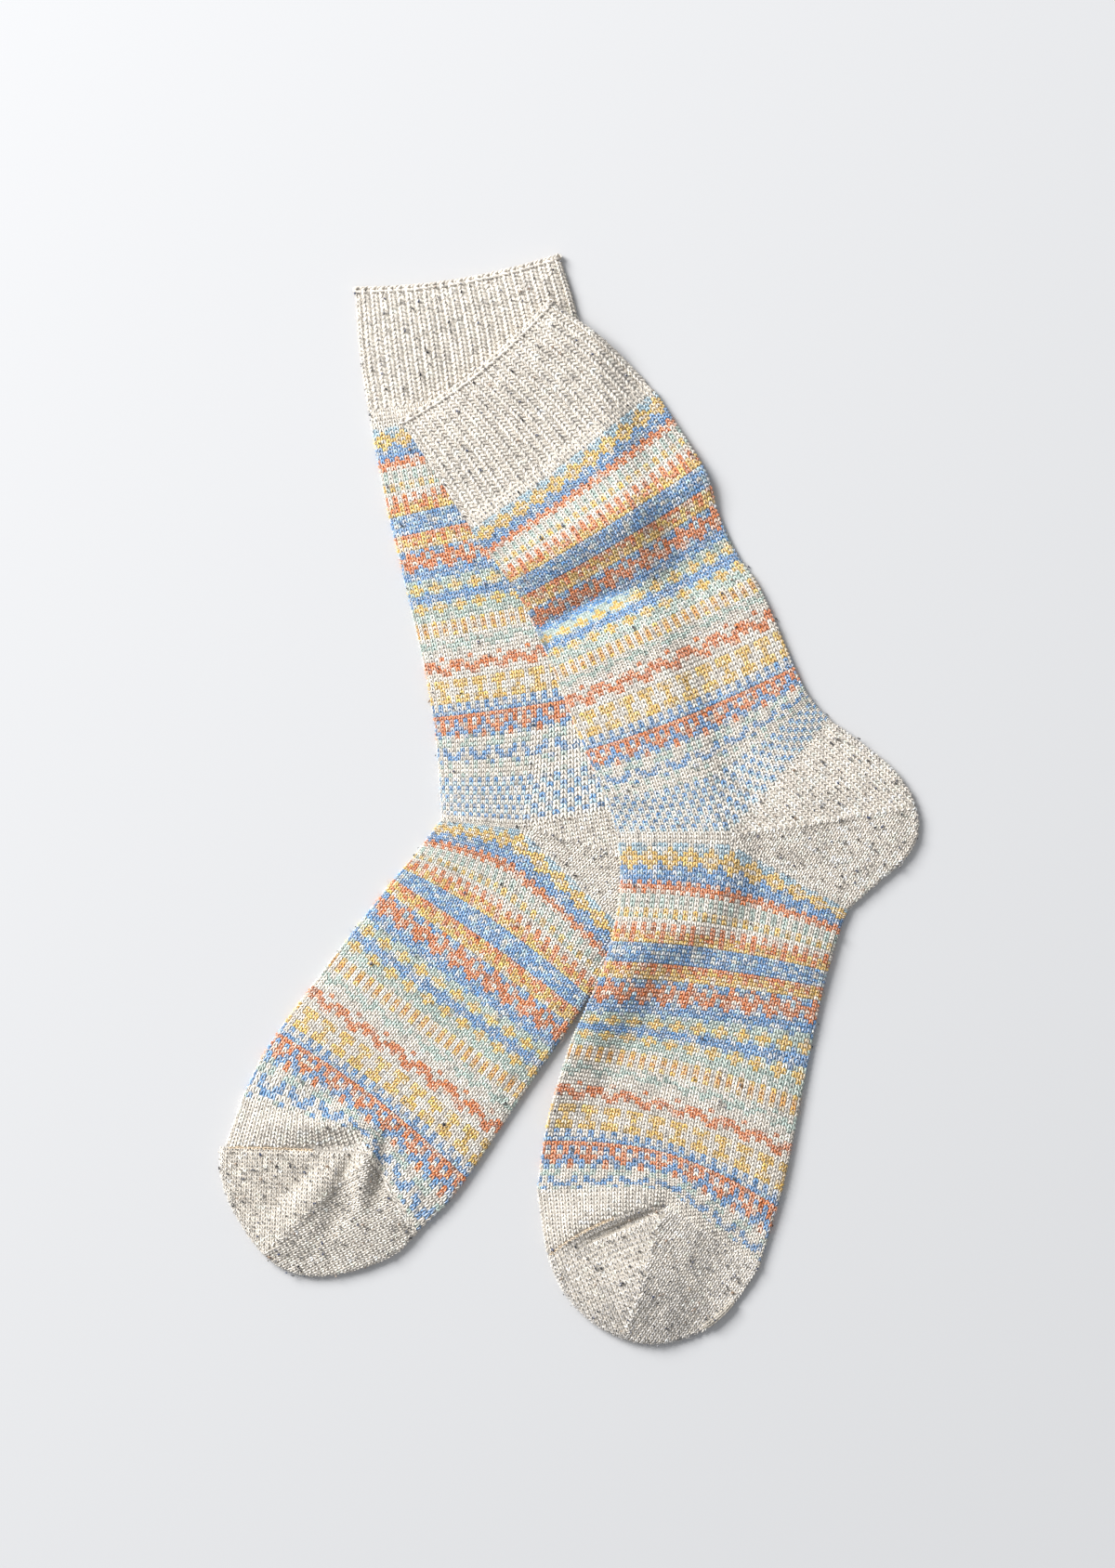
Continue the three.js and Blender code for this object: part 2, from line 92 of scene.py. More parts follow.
# Folds and puffs, in millimetres: middle, direction in degrees, half length and half width, how far the two
# panels open, and how far both lift off what they lie on.
SWELL_COLUMNS = ("x", "y", "turn", "half_length", "half_width", "opening", "lift")
UPPER_SWELLS = (
    (13, 106, 29, 52, 11, 2.6, 1.6),
    (84, -8, -10, 18, 18, 2.2, 0),
    (26, -194, -12, 24, 13, 2.6, 0),
    (8, -164, 22, 22, 7, 2.4, 0),
    (52, -124, 76, 30, 22, 0.8, 0),
)
LOWER_SWELLS = (
    (-97, -127, 2, 22, 5.5, 3, 0),
    (-81, -147, 79, 13, 4.5, 3, 0),
    (-99, -153, 46, 18, 7, 2.4, 0),
    (-110, -172, 20, 16, 9, 1.8, 0),
)

# Soft troughs and ridges of the cloth: middle, direction, half length, half width and height.
UPPER_CREASES = (
    (4, 119, 28, 46, 14, 1.4),
    (13, 106, 27, 46, 11, 0.8),
    (25.5, 78.5, 27, 42, 11, -2.8),
    (1.5, 71, 27, 22, 7, -2.3),
    (54, -58, -11, 44, 12, 2.0),
    (44, -92, -12, 46, 13, -1.8),
    (27, -191, 90, 20, 11, 2.3),
    (56, -190, 72, 26, 10, -3.0),
    (60, 25, 62, 24, 8, 0.15),
    (22, -6, 4, 16, 3, -0.5),
    (26, -18, -6, 16, 3.5, 0.5),
    (28, -40, -60, 22, 7, -0.4),
    (70, -75, -66, 30, 8, 0.4),
    (16, -108, 74, 26, 7, -0.4),
    (97.5, -29, -25, 13, 5, -0.8),
    (20, -168, 24.5, 15, 1.6, -2.2),
    (36, -160.5, 60, 4, 3, -1.2),
    (24, -200, 30, 6, 3, 0.4),
    (32, -201, 60, 8, 3.5, -0.6),
)
LOWER_CREASES = (
    (-62, 100, 76, 30, 7, 0.4),
    (-30, 120, 80, 26, 6, -0.4),
    (-60, -62, 52, 26, 7, -0.4),
    (-90, -100, 40, 22, 6, 0.4),
    (-99, -129.8, 0, 17, 3.2, 1.3),
    (-98.7, -124.6, 0, 17, 2, -0.8),
    (-99, -137.3, 1, 17, 1.6, -2.2),
    (-107, -151, 44, 14, 3.5, -1.0),
    (-81.6, -147.5, 79, 13, 3, 1.1),
    (-75, -145.5, 80, 13, 2.5, -1.6),
    (-89.6, -148, 70, 10, 2.6, -1.4),
    (-102.4, -157, 49, 16, 4.5, 1.0),
    (-92.5, -165, 55, 12, 3.5, -1.2),
    (-102.5, -179.5, 5, 8, 2.5, -0.5),
)

WALL = 1.9
PANEL_GAP = 0.5
WIDEST_PANEL_GAP = 3.5
RIDE_HEIGHT = 5.4
RIDE_OVERHANG = 5.0
RIDE_SLOPE = 20.0
SEAM_BOW_REACH = 13.0
MIDDLE_RISE = 0.7
EDGE_DROP = 1.6
EDGE_REACH = 8.0

WALES_PER_HALF = 22
SHELL_THICKNESS = 1.2
SHELL_DEPTH = 0.5
UNDERSIDE_DEPTH = 0.05


def spline(values, place):
    """Values at places from 0 to 1 along rows of equal spacing, on a smooth curve through the rows."""
    last = len(values) - 1
    at = np.clip(place, 0, 1) * last
    first = np.minimum(np.floor(at).astype(int), last - 1)
    t = (at - first).reshape(first.shape + (1,) * (values.ndim - 1))
    start = values[first]
    end = values[first + 1]
    shape = t.shape
    before = np.where((first > 0).reshape(shape), values[np.maximum(first - 1, 0)], 2 * start - end)
    after = np.where((first + 2 <= last).reshape(shape), values[np.minimum(first + 2, last)], 2 * end - start)
    start_slope = (end - before) / 2
    end_slope = (after - start) / 2
    return ((2 * t**3 - 3 * t**2 + 1) * start + (t**3 - 2 * t**2 + t) * start_slope
            + (3 * t**2 - 2 * t**3) * end + (t**3 - t**2) * end_slope)


def plan_points(courses, across):
    """Plan positions on each course, at places across it from -1, the front fold, to 1, the back fold."""
    front = courses[:, None, 0:2]
    side = courses[:, None, 2:4]
    back = courses[:, None, 4:6]
    corner = np.clip(courses[:, 6:7], 0, 1)
    bend = (1 - corner) * across**2 + corner * np.abs(across)
    straight = (back - front) * (across / 2)[..., None]
    bow = (front + back - 2 * side) * (bend / 2)[..., None]
    return side + straight + bow


def soft_patch(points, x, y, turn, half_length, half_width):
    """A round-topped patch of height 1 round a point, longer in one direction."""
    angle = math.radians(turn)
    dx = points[..., 0] - x
    dy = points[..., 1] - y
    along = (dx * math.cos(angle) + dy * math.sin(angle)) / half_length
    aside = (dy * math.cos(angle) - dx * math.sin(angle)) / half_width
    return np.exp(-along**2 - aside**2)


def distance_outside(outline, points):
    """How far points lie outside a closed outline, negative within it."""
    flat = points.reshape(-1, 1, 2)
    start = outline[None]
    edge = np.roll(outline, -1, axis=0)[None] - start
    to_point = flat - start
    share = np.clip((to_point * edge).sum(-1) / np.maximum((edge**2).sum(-1), 1e-9), 0, 1)
    nearest = np.linalg.norm(to_point - share[..., None] * edge, axis=-1).min(-1)
    y = flat[..., 1]
    crosses = (start[..., 1] > y) != ((start + edge)[..., 1] > y)
    rise = np.where(edge[..., 1] == 0, 1e-9, edge[..., 1])
    left = flat[..., 0] < start[..., 0] + edge[..., 0] * (y - start[..., 1]) / rise
    inside = (crosses & left).sum(-1) % 2 == 1
    return np.where(inside, -nearest, nearest).reshape(points.shape[:-1])


class Heights:
    """How one sock lies: how high its underside and its thickness are, and how its toe seam is bowed."""

    def __init__(self, outline, swells, creases, seam, seam_bow, under_outline=None):
        self.outline = outline
        self.swells = swells
        self.creases = creases
        self.seam = seam
        self.seam_bow = seam_bow
        self.under_outline = under_outline

    def bowed(self, points):
        """Plan positions with the cloth round the toe seam drawn aside, most at the middle of the seam."""
        start = self.seam[0:2]
        length = np.linalg.norm(self.seam[2:4] - start)
        way = (self.seam[2:4] - start) / length
        aside = np.array((-way[1], way[0]))
        share = np.clip((points - start) @ way / length, 0, 1)
        distance = (points - start) @ aside
        shift = self.seam_bow * 4 * share * (1 - share) * np.exp(-(distance / SEAM_BOW_REACH) ** 2)
        return points + shift[..., None] * aside

    def under(self, points):
        height = sum(row[6] * soft_patch(points, *row[:5]) for row in self.swells)
        if self.under_outline is not None:
            outside = (distance_outside(self.under_outline, points) - RIDE_OVERHANG) / RIDE_SLOPE
            slope = np.clip(outside, 0, 1)
            height = height + RIDE_HEIGHT * (1 - slope * slope * (3 - 2 * slope))
        return height

    def thick(self, points):
        opening = sum(row[5] * soft_patch(points, *row[:5]) for row in self.swells)
        return 2 * WALL + np.minimum(PANEL_GAP + opening, WIDEST_PANEL_GAP)

    def ripple(self, points):
        """Unevenness of the top panel: it rounds off to the edges, with the placed creases and a slow wave."""
        x = points[..., 0]
        y = points[..., 1]
        wave = 0.10 * np.sin(x / 9.0 + y / 23.0) + 0.08 * np.sin(y / 7.5 - x / 17.0 + 1.3)
        inside = np.maximum(-distance_outside(self.outline, points), 0)
        rounded = MIDDLE_RISE - EDGE_DROP * np.exp(-(inside / EDGE_REACH) ** 2)
        return wave + rounded + sum(row[5] * soft_patch(points, *row[:5]) for row in self.creases)


def tube_points(courses, around, heights, wales_per_half):
    """The tube's skin: wale 0 is the side line on top, then each fold, and twice as far the middle beneath."""
    dense = np.linspace(-1, 1, 161)
    middle = len(dense) // 2
    lines = plan_points(courses, np.tile(dense, (len(courses), 1)))
    steps = np.linalg.norm(np.diff(lines, axis=1), axis=2)
    arc = np.concatenate((np.zeros((len(courses), 1)), np.cumsum(steps, axis=1)), axis=1)
    arc -= arc[:, middle:middle + 1]
    fold_heights = {sign: heights.thick(plan_points(courses, np.full((len(courses), 1), float(sign))))[:, 0]
                    for sign in (-1, 1)}
    from_side = np.abs(around)
    beneath = from_side > wales_per_half
    folded = np.where(beneath, 2 * wales_per_half - from_side, from_side) / wales_per_half
    across = np.zeros((len(courses), len(around)))
    lean = np.zeros_like(across)
    fold_radius = np.zeros_like(across)
    for row in range(len(courses)):
        for sign in (-1, 1):
            wanted = (around > 0) if sign > 0 else (around <= 0)
            places = dense[middle:] if sign > 0 else -dense[middle::-1]
            lengths = arc[row, middle:] if sign > 0 else -arc[row, middle::-1]
            radius = fold_heights[sign][row] / 2
            scale = (lengths[-1] - lengths[-3]) / (places[-1] - places[-3])
            flat_end = 1 - radius / scale
            flat = np.interp(flat_end, places, lengths)
            t = folded[wanted] * (flat + radius * math.pi / 2)
            turn = np.clip((t - flat) / radius, 0, math.pi / 2)
            on_flat = np.interp(np.minimum(t, flat), lengths, places)
            on_fold = 1 - radius * (1 - np.sin(turn)) / scale
            across[row, wanted] = sign * np.where(turn > 0, on_fold, on_flat)
            lean[row, wanted] = turn
            fold_radius[row, wanted] = radius
    plan = heights.bowed(plan_points(courses, across))
    flat_top = np.where(lean > 0, 2 * fold_radius, heights.thick(plan))
    round_off = fold_radius * (1 - np.cos(lean))
    above = flat_top - round_off + heights.ripple(plan) * np.cos(lean)
    z = heights.under(plan) + np.where(beneath[None], round_off, above)
    return np.concatenate((plan, z[..., None]), axis=2)


def sunk(points, closed=True):
    """The skin moved inward: deeper on top, where the yarns lie on it, and hardly at all beneath."""
    along = np.gradient(points, axis=0)
    if closed:
        across = (np.roll(points, -1, axis=1) - np.roll(points, 1, axis=1)) / 2
        across[:, 0] = points[:, 1] - points[:, -2]
        across[:, -1] = across[:, 0]
    else:
        across = np.gradient(points, axis=1)
    normal = np.cross(along, across)
    normal /= np.maximum(np.linalg.norm(normal, axis=2, keepdims=True), 1e-9)
    depth = UNDERSIDE_DEPTH + (SHELL_DEPTH - UNDERSIDE_DEPTH) * (1 + normal[..., 2:3]) / 2
    return points - normal * depth


# The yarns, as sRGB values
YARNS = {
    "c": (251, 242, 229),
    "p": (184, 217, 234),
    "b": (116, 170, 224),
    "y": (255, 208, 112),
    "m": (253, 185, 100),
    "o": (246, 142, 80),
    "s": (200, 221, 212),
}

# The banded rows from the cuff on, each repeated round the tube. They are repeated on the foot from the heel.
BANDS = (
    "cppp",
    "yppp",
    "yypy",
    "cyyy",
    "yyby",
    "ybbb",
    "bbpb",
    "bbbb",
    "ob",
    "oo",
    "co",
    "cs",
    "cs",
    "cs",
    "yc",
    "ys",
    "cc",
    "oc",
    "oc",
    "oy",
    "oyoyyo",
    "yyoyyy",
    "bbbbp",
    "bbpbbpb",
    "pbbpbbbc",
    "bpbbbpb",
    "bbbbbp",
    "oooyo",
    "oyoyy",
    "yyoyyo",
    "yyyyc",
    "obpb",
    "oobopobb",
    "oooopooo",
    "ocoooopo",
    "oobooobo",
    "obpb",
    "bbbb",
    "bpbb",
    "sbss",
    "ysss",
    "yysy",
    "ysbs",
    "bbbb",
    "bbbb",
    "ysbs",
    "yysy",
    "ysss",
    "ssss",
    "sscs",
    "yc",
    "mc",
    "mc",
    "yc",
    "cscccscc",
    "csssccss",
    "ssccssss",
    "sccccscc",
    "cccc",
    "ccoccc",
    "occcoo",
    "oocooo",
    "coooco",
    "ccoocc",
    "cccccc",
    "yyyc",
    "yyyc",
    "cycc",
    "cycc",
    "yyyc",
    "yyyc",
    "bc",
    "bc",
    "bbpb",
    "oooooo",
    "obobob",
    "ocoboc",
    "oobbbo",
    "obbobb",
    "sbcocb",
    "cscccs",
    "ssccss",
    "bcccbc",
    "bbcbbc",
    "cbbbcc",
    "csccsb",
    "cscccs",
    "cccc",
    "csccsc",
)
# Above the heel the leg ends in staggered blue dots on cream.
ANKLE_DOTS = ("bc", "pc", "cb", "cp")
GREY_FIBRE = (150, 147, 146)
# Cream of the ground under the stitches: partly the yarn's own colour, partly painted shade of the gaps
CREAM_GAP = (236, 225, 208)

# Painted shade: how light each part's knit is beside the yarn's full colour. The upper foot, the toes and the
# cuffs are painted darkest, the toes a cooler grey too.
LOWER_LEG_PAINTED_SHADE = 0.98
LOWER_FOOT_PAINTED_SHADE = 0.98
UPPER_LEG_PAINTED_SHADE = 0.94
UPPER_FOOT_PAINTED_SHADE = 0.85
CUFF_KNIT_PAINTED_SHADE = 0.81
POUCH_PAINTED_SHADES = {
    "lower_sock_heel": (0.95, 0.95, 0.96),
    "upper_sock_heel": (1.0, 1.0, 1.02),
    "lower_sock_toe": (0.84, 0.86, 0.89),
    "upper_sock_toe": (0.77, 0.8, 0.86),
}
# Painted shade of the gaps: the ground under the stitches on top is darkened by these, and beneath it is not
PAINTED_GAP_SHADE = 0.62
CUFF_PAINTED_GAP_SHADE = 0.8
POUCH_PAINTED_GAP_SHADE = 0.74


def linear(colour):
    """An sRGB colour of 0 to 255 as linear light."""
    share = np.asarray(colour, float) / 255
    return np.where(share <= 0.04045, share / 12.92, ((share + 0.055) / 1.055) ** 2.4)


def charted(rows, wales):
    """The yarn's colour of each stitch in a chart, one row of the result to a course."""
    colours = np.zeros((len(rows), len(wales), 3))
    for place, row in enumerate(rows):
        for wale_place, wale in enumerate(wales):
            colours[place, wale_place] = linear(YARNS[row[wale % len(row)]])
    return colours


def marled(colours, rng):
    """Hand-spun unevenness: each stitch a little lighter or darker, some mixed with cream and a few with grey."""
    shape = colours.shape[:-1] + (1,)
    paler = 0.2 * rng.random(shape) + 0.55 * (rng.random(shape) < 0.18)
    greyer = (rng.random(shape) < 0.06) * 0.4
    mixed = colours * (1 - paler) + linear(YARNS["c"]) * paler
    mixed = mixed * (1 - greyer) + linear(GREY_FIBRE) * greyer
    return mixed * (1 + 0.14 * rng.standard_normal(shape))


def add_colour(mesh, name, domain, colours):
    """Stores one colour to each point or face."""
    attribute = mesh.attributes.new(name, "FLOAT_COLOR", domain)
    rgba = np.ones((len(colours), 4))
    rgba[:, :3] = np.clip(colours, 0.0, 1.0)
    attribute.data.foreach_set("color", rgba.astype(np.float32).ravel())


def to_metres(points):
    """Points of the millimetre tables as metres in the pair's frame."""
    moved = points.reshape(-1, 3).copy()
    moved[:, :2] += PAIR_OFFSET
    return moved * MILLIMETRE


def evaluated_copy(obj, name):
    """The object with its modifiers applied, as a plain mesh object of its own, in place of the first."""
    depsgraph = bpy.context.evaluated_depsgraph_get()
    mesh = bpy.data.meshes.new_from_object(obj.evaluated_get(depsgraph), depsgraph=depsgraph)
    bpy.data.objects.remove(obj)
    mesh.name = name
    made = bpy.data.objects.new(name, mesh)
    bpy.context.scene.collection.objects.link(made)
    return made


def keep_above_floor(mesh):
    """Cloth that would reach through the floor lies flat on it."""
    places = np.empty(3 * len(mesh.vertices), np.float32)
    mesh.vertices.foreach_get("co", places)
    places[2::3] = np.maximum(places[2::3], 0.02 * MILLIMETRE)
    mesh.vertices.foreach_set("co", places)
    mesh.update()


def knit_material(name, grey_share, stitched):
    """Cotton yarn: its colour from the chart, spun with paler, darker and grey fibres, matt with a soft sheen."""
    material = bpy.data.materials.new(name)
    material.use_nodes = True
    nodes = material.node_tree.nodes
    links = material.node_tree.links
    shader = nodes["Principled BSDF"]
    shader.inputs["Roughness"].default_value = 0.9
    shader.inputs["Specular IOR Level"].default_value = 0.15
    shader.inputs["Sheen Weight"].default_value = 0.2
    shader.inputs["Sheen Roughness"].default_value = 0.6
    place = nodes.new("ShaderNodeTexCoord")

    def spots(scale, low, high, to_low, to_high):
        noise = nodes.new("ShaderNodeTexNoise")
        noise.inputs["Scale"].default_value = scale
        noise.inputs["Detail"].default_value = 2
        links.new(place.outputs["Object"], noise.inputs["Vector"])
        span = nodes.new("ShaderNodeMapRange")
        for socket, value in (("From Min", low), ("From Max", high), ("To Min", to_low), ("To Max", to_high)):
            span.inputs[socket].default_value = value
        links.new(noise.outputs["Fac"], span.inputs["Value"])
        return span.outputs["Result"]

    def mixed(factor, first, second):
        mix = nodes.new("ShaderNodeMix")
        mix.data_type = "RGBA"
        links.new(factor, mix.inputs["Factor"])
        links.new(first, mix.inputs["A"])
        mix.inputs["B"].default_value = (*linear(second), 1)
        return mix.outputs["Result"]

    def maths(operation, first, second=0.0):
        node = nodes.new("ShaderNodeMath")
        node.operation = operation
        for socket, value in zip(node.inputs, (first, second)):
            if isinstance(value, (int, float)):
                socket.default_value = value
            else:
                links.new(value, socket)
        return node.outputs[0]

    yarn = nodes.new("ShaderNodeAttribute")
    yarn.attribute_name = "yarn"
    pale = mixed(spots(1500, 0.52, 0.64, 0, 0.8), yarn.outputs["Color"], YARNS["c"])
    heathered = mixed(spots(2100, 0.62, 0.68, 0, grey_share), pale, GREY_FIBRE)
    shade = spots(1100, 0.36, 0.62, 0.66, 1.16)
    height = spots(4000, 0.3, 0.7, 0, 0.3)
    if stitched:
        rows = nodes.new("ShaderNodeUVMap")
        rows.uv_map = "rows"
        parts = nodes.new("ShaderNodeSeparateXYZ")
        links.new(rows.outputs["UV"], parts.inputs["Vector"])
        across = maths("FRACT", parts.outputs["X"])
        from_middle = maths("MULTIPLY", maths("ABSOLUTE", maths("SUBTRACT", across, 0.5)), 2)
        slant = maths("FRACT", maths("ADD", parts.outputs["Y"], maths("MULTIPLY", from_middle, 0.5)))
        leg = maths("SINE", maths("MULTIPLY", maths("FRACT", maths("MULTIPLY", parts.outputs["X"], 2)), math.pi))
        bead = maths("SINE", maths("MULTIPLY", slant, math.pi))
        stitch = maths("MULTIPLY", leg, maths("ADD", maths("MULTIPLY", bead, 0.6), 0.4))
        height = maths("ADD", height, stitch)
        # Painted shade: the ground's colour is darker between the drawn stitch legs and a little lighter on them
        shade = maths("MULTIPLY", shade, maths("ADD", maths("MULTIPLY", stitch, 0.3), 0.78))
    tint = nodes.new("ShaderNodeVectorMath")
    tint.operation = "SCALE"
    links.new(heathered, tint.inputs[0])
    links.new(shade, tint.inputs["Scale"])
    links.new(tint.outputs["Vector"], shader.inputs["Base Color"])
    bump = nodes.new("ShaderNodeBump")
    bump.inputs["Strength"].default_value = 0.6
    bump.inputs["Distance"].default_value = (0.5 if stitched else 0.2) * MILLIMETRE
    links.new(height, bump.inputs["Height"])
    links.new(bump.outputs["Normal"], shader.inputs["Normal"])
    return material


banded_yarn = knit_material("spun_cotton_yarn", 0.25, False)
ground_material = knit_material("knitted_ground", 0.3, True)


def shell(name, points, colours, closed, stitches_per_face):
    """A thin wall of cloth on a grid of points, with its colour on the face and its stitches as a map."""
    rows, columns = points.shape[:2]
    ring = columns - 1 if closed else columns
    row, column = np.meshgrid(np.arange(rows - 1), np.arange(columns - 1), indexing="ij")
    near = row * ring + column % ring
    next_near = row * ring + (column + 1) % ring
    faces = np.stack((near, near + ring, next_near + ring, next_near), axis=-1).reshape(-1, 4)
    mesh = bpy.data.meshes.new(name)
    mesh.from_pydata(to_metres(points[:, :ring]), [], faces.tolist())
    add_colour(mesh, "yarn", "FACE", colours.reshape(-1, 3))
    corners = np.stack((column, row, column, row + 1, column + 1, row + 1, column + 1, row), axis=-1)
    rows_map = mesh.uv_layers.new(name="rows")
    rows_map.data.foreach_set("uv", (corners.reshape(-1, 2) * np.array(stitches_per_face)).ravel())
    mesh.polygons.foreach_set("use_smooth", np.ones(len(faces), bool))
    mesh.materials.append(ground_material)
    draft = bpy.data.objects.new(name, mesh)
    bpy.context.scene.collection.objects.link(draft)
    wall = draft.modifiers.new("wall", "SOLIDIFY")
    wall.thickness = SHELL_THICKNESS * MILLIMETRE
    wall.offset = -1
    wall.use_rim = True
    made = evaluated_copy(draft, name)
    keep_above_floor(made.data)
    return made


def laying_tree(name, sizes, shape):
    """Geometry nodes that lay one shape, such as a stitch, on each point of a mesh, facing outwards."""
    tree = bpy.data.node_groups.new(name, "GeometryNodeTree")
    tree.interface.new_socket("Geometry", in_out="OUTPUT", socket_type="NodeSocketGeometry")
    tree.interface.new_socket("Geometry", in_out="INPUT", socket_type="NodeSocketGeometry")
    for size_name, value in sizes + (("Turn Jitter", 0.12),):
        socket = tree.interface.new_socket(size_name, in_out="INPUT", socket_type="NodeSocketFloat")
        socket.default_value = value
    tree.interface.new_socket("Seed", in_out="INPUT", socket_type="NodeSocketInt")
    tree.interface.new_socket("Yarn", in_out="INPUT", socket_type="NodeSocketMaterial")
    nodes = tree.nodes
    links = tree.links
    inputs = nodes.new("NodeGroupInput")
    outputs = nodes.new("NodeGroupOutput")

    def stored(attribute_name):
        node = nodes.new("GeometryNodeInputNamedAttribute")
        node.data_type = "FLOAT_VECTOR"
        node.inputs["Name"].default_value = attribute_name
        return node.outputs["Attribute"]

    facing = nodes.new("FunctionNodeAxesToRotation")
    facing.primary_axis = "Z"
    facing.secondary_axis = "Y"
    links.new(stored("outward"), facing.inputs["Primary Axis"])
    links.new(stored("course_way"), facing.inputs["Secondary Axis"])
    spread = nodes.new("ShaderNodeCombineXYZ")
    for axis in ("X", "Y", "Z"):
        links.new(inputs.outputs["Turn Jitter"], spread.inputs[axis])
    flipped = nodes.new("ShaderNodeVectorMath")
    flipped.operation = "SCALE"
    flipped.inputs["Scale"].default_value = -1
    links.new(spread.outputs["Vector"], flipped.inputs[0])
    jitter = nodes.new("FunctionNodeRandomValue")
    jitter.data_type = "FLOAT_VECTOR"
    links.new(flipped.outputs["Vector"], jitter.inputs["Min"])
    links.new(spread.outputs["Vector"], jitter.inputs["Max"])
    links.new(inputs.outputs["Seed"], jitter.inputs["Seed"])
    turned = nodes.new("FunctionNodeRotateRotation")
    turned.rotation_space = "LOCAL"
    links.new(facing.outputs["Rotation"], turned.inputs["Rotation"])
    links.new(jitter.outputs["Value"], turned.inputs["Rotate By"])
    laid = nodes.new("GeometryNodeInstanceOnPoints")
    links.new(inputs.outputs["Geometry"], laid.inputs["Points"])
    links.new(shape(tree, inputs), laid.inputs["Instance"])
    links.new(turned.outputs["Rotation"], laid.inputs["Rotation"])
    links.new(stored("laid_size"), laid.inputs["Scale"])
    real = nodes.new("GeometryNodeRealizeInstances")
    links.new(laid.outputs["Instances"], real.inputs["Geometry"])
    smooth = nodes.new("GeometryNodeSetShadeSmooth")
    links.new(real.outputs["Geometry"], smooth.inputs["Geometry"])
    finish = nodes.new("GeometryNodeSetMaterial")
    links.new(smooth.outputs["Geometry"], finish.inputs["Geometry"])
    links.new(inputs.outputs["Yarn"], finish.inputs["Material"])
    links.new(finish.outputs["Geometry"], outputs.inputs["Geometry"])
    return tree


def bent_yarn(tree, points, radius, radius_scale):
    """A short closed length of yarn on a bend through three points, each a socket or number per axis."""
    nodes = tree.nodes
    links = tree.links
    bend = nodes.new("GeometryNodeCurveQuadraticBezier")
    for socket, point in zip(("Start", "Middle", "End"), points):
        place = nodes.new("ShaderNodeCombineXYZ")
        for axis, (value, factor) in enumerate(point):
            if value is None:
                place.inputs[axis].default_value = factor
                continue
            scaled = nodes.new("ShaderNodeMath")
            scaled.operation = "MULTIPLY"
            scaled.inputs[1].default_value = factor
            links.new(value, scaled.inputs[0])
            links.new(scaled.outputs[0], place.inputs[axis])
        links.new(place.outputs["Vector"], bend.inputs[socket])
    stepped = nodes.new("GeometryNodeResampleCurve")
    stepped.inputs["Count"].default_value = 3
    links.new(bend.outputs["Curve"], stepped.inputs["Curve"])
    profile = nodes.new("GeometryNodeCurvePrimitiveCircle")
    profile.inputs["Resolution"].default_value = 3
    links.new(radius, profile.inputs["Radius"])
    along = nodes.new("GeometryNodeSplineParameter")
    half_turn = nodes.new("ShaderNodeMath")
    half_turn.operation = "MULTIPLY"
    half_turn.inputs[1].default_value = math.pi
    links.new(along.outputs["Factor"], half_turn.inputs[0])
    belly = nodes.new("ShaderNodeMath")
    belly.operation = "SINE"
    links.new(half_turn.outputs[0], belly.inputs[0])
    width = nodes.new("ShaderNodeMath")
    width.operation = "MULTIPLY_ADD"
    width.inputs[1].default_value = 1 - radius_scale
    width.inputs[2].default_value = radius_scale
    links.new(belly.outputs[0], width.inputs[0])
    tube = nodes.new("GeometryNodeCurveToMesh")
    tube.inputs["Fill Caps"].default_value = True
    links.new(stepped.outputs["Curve"], tube.inputs["Curve"])
    links.new(profile.outputs["Curve"], tube.inputs["Profile Curve"])
    links.new(width.outputs[0], tube.inputs["Scale"])
    return tube.outputs["Mesh"]


def stitch_shape(tree, inputs):
    """Two legs of yarn that part from a point and end in the next row."""
    joined = tree.nodes.new("GeometryNodeJoinGeometry")
    for side in (-1, 1):
        points = (((inputs.outputs["Top Spread"], side), (inputs.outputs["Top Reach"], -1), (None, -0.15)),
                  ((inputs.outputs["Bend Spread"], side), (None, -0.1), (inputs.outputs["Rise"], 1)),
                  ((inputs.outputs["Foot Spread"], side), (inputs.outputs["Foot Reach"], 1), (None, -0.2)))
        leg = bent_yarn(tree, points, inputs.outputs["Yarn Radius"], 0.6)
        tree.links.new(leg, joined.inputs["Geometry"])
    return joined.outputs["Geometry"]


stitch_nodes = laying_tree("knit_stitches", (
    ("Top Spread", 0.03), ("Bend Spread", 0.24), ("Foot Spread", 0.42), ("Top Reach", 0.66),
    ("Foot Reach", 0.56), ("Rise", 0.8), ("Yarn Radius", 0.21)), stitch_shape)


def lay(name, nodes, yarn, centres, outward, course_way, sizes, colours, seed, **shape):
    """Lays a stitch, fleck or fibre at each centre, in millimetres, and returns them as one mesh object."""
    mesh = bpy.data.meshes.new(name)
    mesh.from_pydata(to_metres(centres), [], [])
    for attribute_name, values in (("outward", outward), ("course_way", course_way),
                                   ("laid_size", sizes * MILLIMETRE)):
        attribute = mesh.attributes.new(attribute_name, "FLOAT_VECTOR", "POINT")
        attribute.data.foreach_set("vector", values.astype(np.float32).ravel())
    add_colour(mesh, "yarn", "POINT", colours)
    draft = bpy.data.objects.new(name, mesh)
    bpy.context.scene.collection.objects.link(draft)
    modifier = draft.modifiers.new("laid", "NODES")
    modifier.node_group = nodes
    values = {"Seed": seed, "Yarn": yarn}
    values.update(shape)
    for item in nodes.interface.items_tree:
        if item.in_out == "INPUT" and item.name in values:
            modifier[item.identifier] = values[item.name]
    made = evaluated_copy(draft, name)
    for attribute_name in ("outward", "course_way", "laid_size"):
        stored = made.data.attributes.get(attribute_name)
        if stored is not None:
            made.data.attributes.remove(stored)
    keep_above_floor(made.data)
    return made


